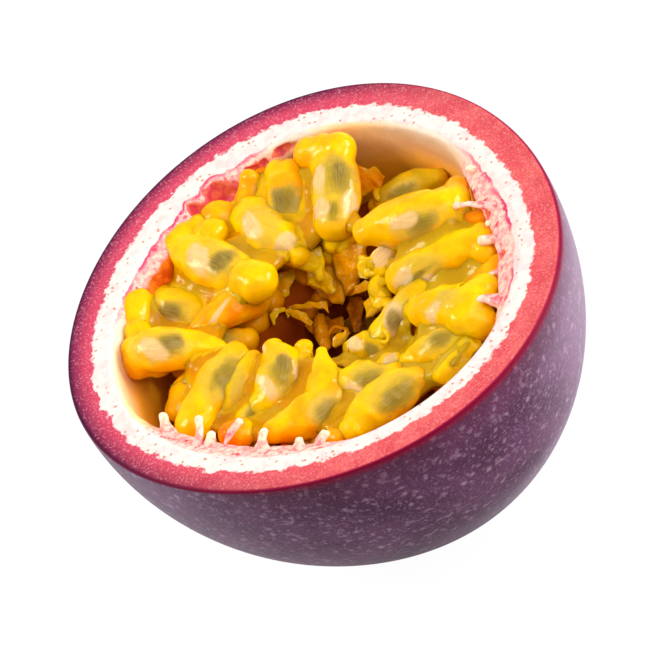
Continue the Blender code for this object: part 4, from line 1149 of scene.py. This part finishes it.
def ball_offsets():
    """Grid steps inside a ball's shadow, with the height of its cap over each."""
    reach = int(BALL / CELL)
    for i in range(-reach, reach + 1):
        for j in range(-reach, reach + 1):
            flat = (i * i + j * j) * CELL * CELL
            if flat < BALL * BALL:
                yield i, j, math.sqrt(BALL * BALL - flat)


def shifted(field, i, j, filler):
    out = np.full_like(field, filler)
    rows, columns = field.shape
    out[max(i, 0):rows + min(i, 0), max(j, 0):columns + min(j, 0)] = (
        field[max(-i, 0):rows + min(-i, 0), max(-j, 0):columns + min(-j, 0)])
    return out


def rolled_over(height):
    """The surface that a ball rolling over a height field can touch from above."""
    offsets = list(ball_offsets())
    centre = np.full_like(height, -FAR)
    for i, j, cap in offsets:
        centre = np.maximum(centre, shifted(height, i, j, -FAR) + cap)
    surface = np.full_like(height, FAR)
    for i, j, cap in offsets:
        surface = np.minimum(surface, shifted(centre, i, j, FAR) - cap)
    return surface


def film_piece(look, spines):
    """A thin sheet of juice that spans the gaps between the sacs."""
    count = int(2.0 * RIM_RADIUS / CELL)
    ticks = (np.arange(count) - count / 2.0) * CELL
    x, y = np.meshgrid(ticks, ticks, indexing="ij")
    azimuth = np.degrees(np.arctan2(y, x))
    radius = np.hypot(x, y) / outline(np.radians(azimuth))
    height = np.full(x.shape, -NO_SAC)
    for spine in spines:
        for cx, cy, cz, width in spine[2:-2:2] - np.array([*AXIS, RIM_Z, 0.0]):
            part = cells_under(cx, width, count), cells_under(cy, width, count)
            rest = width * width - (x[part] - cx) ** 2 - (y[part] - cy) ** 2
            cap = np.where(rest > 0.0, SAC_FLATNESS * np.sqrt(np.maximum(rest, 0.0)), -FAR)
            height[part] = np.maximum(height[part], cz + cap)
    surface = rolled_over(height)
    sunk = np.maximum(surface - height, 0.0)
    around = [(axis, way) for axis in (0, 1) for way in (-1, 1)]
    steep = np.max([np.abs(surface - np.roll(surface, way, axis)) for axis, way in around], axis=0)
    inside_wall = radius < inner_radius(-surface) - wall_step(azimuth, -surface) + FILM_INTO_WALL
    keep = (-surface < FILM_LOWEST) & inside_wall & (steep < FILM_STEEPEST * CELL)
    for _ in range(FILM_PASSES):
        surface = 0.5 * surface + sum(np.roll(surface, way, axis) for axis, way in around) / 8.0
    top = np.stack([x + AXIS[0], y + AXIS[1], RIM_Z + surface - FILM_SINK], -1)
    top[..., 2] += 0.06 * folds_at(top, 1.8, 120.0) + 0.08 * ripple(top, 1.0, 121.0)
    points, faces, order = slab(top, keep, FILM_BODY)
    values = {"depth": -surface, "sunk": sunk, "clear": near(azimuth, *CLEAR_SIDE, 4)}
    values = {name: np.tile(part.reshape(-1)[order], 2) for name, part in values.items()}
    new_piece("juice", points, faces.tolist(), look, values)


def cells_under(middle, width, count):
    """The run of grid cells within a width of a middle."""
    low, high = ((middle + side) / CELL + count / 2 for side in (-width, width))
    return slice(max(int(low), 0), int(high) + 2)


def slab(top, keep, body):
    """A closed sheet under the kept cells of a grid: its points, faces and kept grid points."""
    rows, columns = keep.shape
    index = np.arange(rows * columns).reshape(rows, columns)
    cell = keep[:-1, :-1] & keep[1:, :-1] & keep[1:, 1:] & keep[:-1, 1:]
    corners = (index[:-1, :-1], index[1:, :-1], index[1:, 1:], index[:-1, 1:])
    quads = np.stack([corner[cell] for corner in corners], -1)
    order, packed = np.unique(quads, return_inverse=True)
    quads = packed.reshape(quads.shape)
    edges = np.concatenate([quads[:, [k, (k + 1) % 4]] for k in range(4)])
    code = edges[:, 0] * len(order) + edges[:, 1]
    rim = edges[~np.isin(code, edges[:, 1] * len(order) + edges[:, 0])]
    upper = even_border(top.reshape(-1, 3)[order], rim)
    lower = upper - np.array([0.0, 0.0, body])
    walls = np.stack([rim[:, 1], rim[:, 0], rim[:, 0] + len(order), rim[:, 1] + len(order)], -1)
    faces = np.concatenate([quads, quads[:, ::-1] + len(order), walls])
    return np.concatenate([upper, lower]), faces, order


def even_border(points, rim):
    """Round off the steps of a grid along its border and turn the border down."""
    border = np.unique(rim)
    for _ in range(BORDER_PASSES):
        total, count = np.zeros_like(points), np.zeros(len(points))
        for a, b in ((0, 1), (1, 0)):
            np.add.at(total, rim[:, a], points[rim[:, b]])
            np.add.at(count, rim[:, a], 1.0)
        points[border] = 0.5 * points[border] + 0.5 * total[border] / count[border, None]
    points[border, 2] -= BORDER_DROP
    return points


# ---------------------------------------------------------------- stalks and the deep middle

# Finger-like stalks from the ridges, as stations of (azimuth, distance, drop, half width).
STALKS = (
    ((-13, 20.2, 1.4, 1), (-11, 18.2, 0.9, 0.5), (-6, 16.4, 0.7, 0.27), (-2, 14.9, 0.9, 0.4)),
    ((-17, 20, 1.6, 0.8), (-16, 18.4, 1.3, 0.36), (-16, 17.4, 1.2, 0.28)),
    ((-24, 19.8, 1.7, 0.9), (-23, 17.8, 1.4, 0.38), (-22, 16.5, 1.3, 0.3)),
    ((-36, 20, 1.6, 1), (-36, 18.4, 1.4, 0.44), (-38, 17.3, 1.3, 0.3)),
    ((-47, 20.4, 1.4, 0.9), (-47, 18.7, 1.1, 0.4), (-48, 17.5, 0.9, 0.28)),
    ((3, 19.9, 1.5, 0.9), (5, 18.9, 0.8, 0.45), (7, 18.2, 0.4, 0.34)),
    ((-158, 20.4, 1.6, 1.5), (-160, 19.4, 1.2, 0.9), (-164, 18.6, 0.8, 0.45), (-166, 18.2, 0.5, 0.3)),
    ((-160, 20.4, 1.6, 0.8), (-162, 19.4, 1.1, 0.45), (-165, 18.6, 1.1, 0.25)),
    ((-148, 20.4, 1.6, 1.3), (-149, 19, 1, 0.55), (-150, 17.8, 0.4, 0.36), (-152, 17, 0.1, 0.36)),
    ((-144, 20.4, 1.6, 1.1), (-145, 18.8, 1.2, 0.55), (-146, 17.8, 0.8, 0.38)),
    ((-140, 18.3, 0.9, 0.22), (-139, 17.4, 0.5, 0.32), (-137, 16.3, 0.1, 0.28)),
    ((-126, 20.4, 1.6, 1.5), (-127, 19, 1.1, 0.7), (-127.5, 18, 0.6, 0.38), (-127, 17.3, 0.3, 0.3)),
    ((-130, 20.3, 1.6, 0.8), (-129, 19.2, 1.2, 0.4), (-128, 18.2, 0.8, 0.25)),
    ((-116, 20.3, 1.5, 1.1), (-116, 19.3, 1, 0.48), (-116, 18.6, 0.8, 0.28)),
    ((-111, 20.2, 1.5, 0.8), (-110, 19.4, 0.9, 0.42), (-108, 18.9, 0.7, 0.32)),
    ((143, 20.4, 1.4, 0.7), (144, 19.7, 1.5, 0.45), (145, 19.2, 1.8, 0.4)),
    ((0, 7, 4, 0.08), (-2, 8.8, 3, 0.1), (-6, 11.5, 2.2, 0.1), (-11, 13.8, 2.2, 0.08)),
)
STALK_ROWS = 30
STALK_COLUMNS = 16

CORE_ROWS = 60
CORE_COLUMNS = 128
CORE_GAP = 3.2              # from the wall to the core, beside the upper rings of sacs
DEEP_CORE_GAP = 1.2         # and lower down
# (distance, drop) of the core's skin, from the middle of the hollow up and out.
CORE_TOP = ((0.4, 15.0), (2.4, 14.8), (4.4, 14.0), (5.6, 12.0), (6.6, 10.0), (7.8, 8.0), (9.6, 7.2),
            (13.0, 7.0), (16.0, 7.0))


def stalk_piece(look):
    """The finger-like stalks that the sacs hang from, and one loose strand."""
    heap = Heap()
    for number, path in enumerate(STALKS):
        stalk = dict(path=path, flat=0.8, creased=0.05)
        points = sac_rings(stalk, number + 80, STALK_ROWS, STALK_COLUMNS)[0]
        points += 0.06 * ripple(points, 0.35, number + 90.0)[..., None]
        heap.add(points, along=np.linspace(0.0, 1.0, STALK_ROWS)[:, None])
    heap.make("stalks", look, "rind")


def core_piece(look):
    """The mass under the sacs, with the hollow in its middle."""
    rows = list(CORE_TOP)
    for gap, drops in ((CORE_GAP, (7.2, 9.0, 12.0, 15.0)), (DEEP_CORE_GAP, (18.0, 21.0, 23.0))):
        rows += [(float(inner_radius(drop)) - gap, drop) for drop in drops]
    line = spine_points(rows + [(CORE_TOP[0][0], FLOOR_DROP - 0.4)], CORE_ROWS)
    azimuth = np.linspace(-180.0, 180.0, CORE_COLUMNS, endpoint=False)[None, :]
    points = place(azimuth, line[:, 0, None] * outline(np.radians(azimuth)), line[:, 1, None])
    points += (points - MIDDLE) / MIDDLE_DROP * (0.5 * ripple(points, 2.2, 9.0))[..., None]
    heap = Heap()
    heap.add(points, depth=RIM_Z - points[..., 2])
    heap.make("deep_pulp", look, "pulp")


# ---------------------------------------------------------------- stage, light and camera

VIEW_ELEVATION = 41.0
VIEW_ROLL = 31.85
VIEW_DISTANCE = 400.0
VIEW_LENS = 239.0
SENSOR = 36.0
AIM = (-0.82, 0.0, 5.42)    # from the axis at the rim: right, back, down
FLOOR_SIZE = 3.0            # metres, like the lamps' sizes and distance
LAMP_DISTANCE = 0.6
# Square lamps: azimuth, elevation, size and power.
LAMPS = {"key": (156.0, 43.0, 0.24, 2.7), "front": (-48.0, 48.0, 0.4, 1.6),
         "fill": (-12.0, 9.0, 0.3, 5.0)}
WORLD_STRENGTH = 0.50


def make_floor():
    bpy.ops.mesh.primitive_grid_add(x_subdivisions=8, y_subdivisions=8, size=FLOOR_SIZE)
    floor = bpy.context.object
    floor.name = "floor"
    floor.data.materials.append(floor_material())
    floor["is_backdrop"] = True


def put_in_scene(name, data):
    thing = bpy.data.objects.new(name, data)
    bpy.context.scene.collection.objects.link(thing)
    return thing


def make_light(name, azimuth, elevation, size, power):
    lamp = bpy.data.lights.new(name, "AREA")
    lamp.shape = "SQUARE"
    lamp.size = size
    lamp.energy = power
    turn, rise = math.radians(azimuth), math.radians(elevation)
    away = Vector((math.cos(turn) * math.cos(rise), math.sin(turn) * math.cos(rise), math.sin(rise)))
    thing = put_in_scene(name, lamp)
    thing.location = Vector((0.0, 0.0, RIM_Z * MM)) + away * LAMP_DISTANCE
    thing.rotation_euler = away.to_track_quat("Z", "Y").to_euler()


def make_camera():
    """The photograph's view: from the front and above, and rolled."""
    rise, roll = math.radians(VIEW_ELEVATION), math.radians(VIEW_ROLL)
    forward = Vector((0.0, math.cos(rise), -math.sin(rise)))
    up = Vector((0.0, math.sin(rise), math.cos(rise)))
    right = Vector((1.0, 0.0, 0.0))
    across = right * math.cos(roll) - up * math.sin(roll)
    upward = right * math.sin(roll) + up * math.cos(roll)
    aim = Vector((AXIS[0] + AIM[0], AXIS[1] + AIM[1], RIM_Z - AIM[2])) * MM
    lens = bpy.data.cameras.new("camera")
    lens.lens = VIEW_LENS
    lens.sensor_width = SENSOR
    lens.clip_start = 0.01
    camera = put_in_scene("camera", lens)
    turn = Matrix((across, upward, -forward)).transposed().to_4x4()
    camera.matrix_world = Matrix.Translation(aim - forward * VIEW_DISTANCE * MM) @ turn
    bpy.context.scene.camera = camera


def make_world():
    world = bpy.data.worlds.new("studio")
    world.use_nodes = True
    back = world.node_tree.nodes["Background"]
    back.inputs["Color"].default_value = (1.0, 1.0, 1.0, 1.0)
    back.inputs["Strength"].default_value = WORLD_STRENGTH
    bpy.context.scene.world = world
    bpy.context.scene.view_settings.view_transform = "Standard"


make_world()
make_camera()
make_floor()
for lamp_name, lamp_settings in LAMPS.items():
    make_light(lamp_name, *lamp_settings)
rind_piece(rind_material())
film_piece(film_material(), sac_pieces(sac_material(), seed_material()))
tail_piece(tail_material())
stalk_piece(stalk_material())
core_piece(core_material())

boxes = {"cad": cad_box, "visual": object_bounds()}
{name: [list(corner) for corner in box] for name, box in boxes.items()}
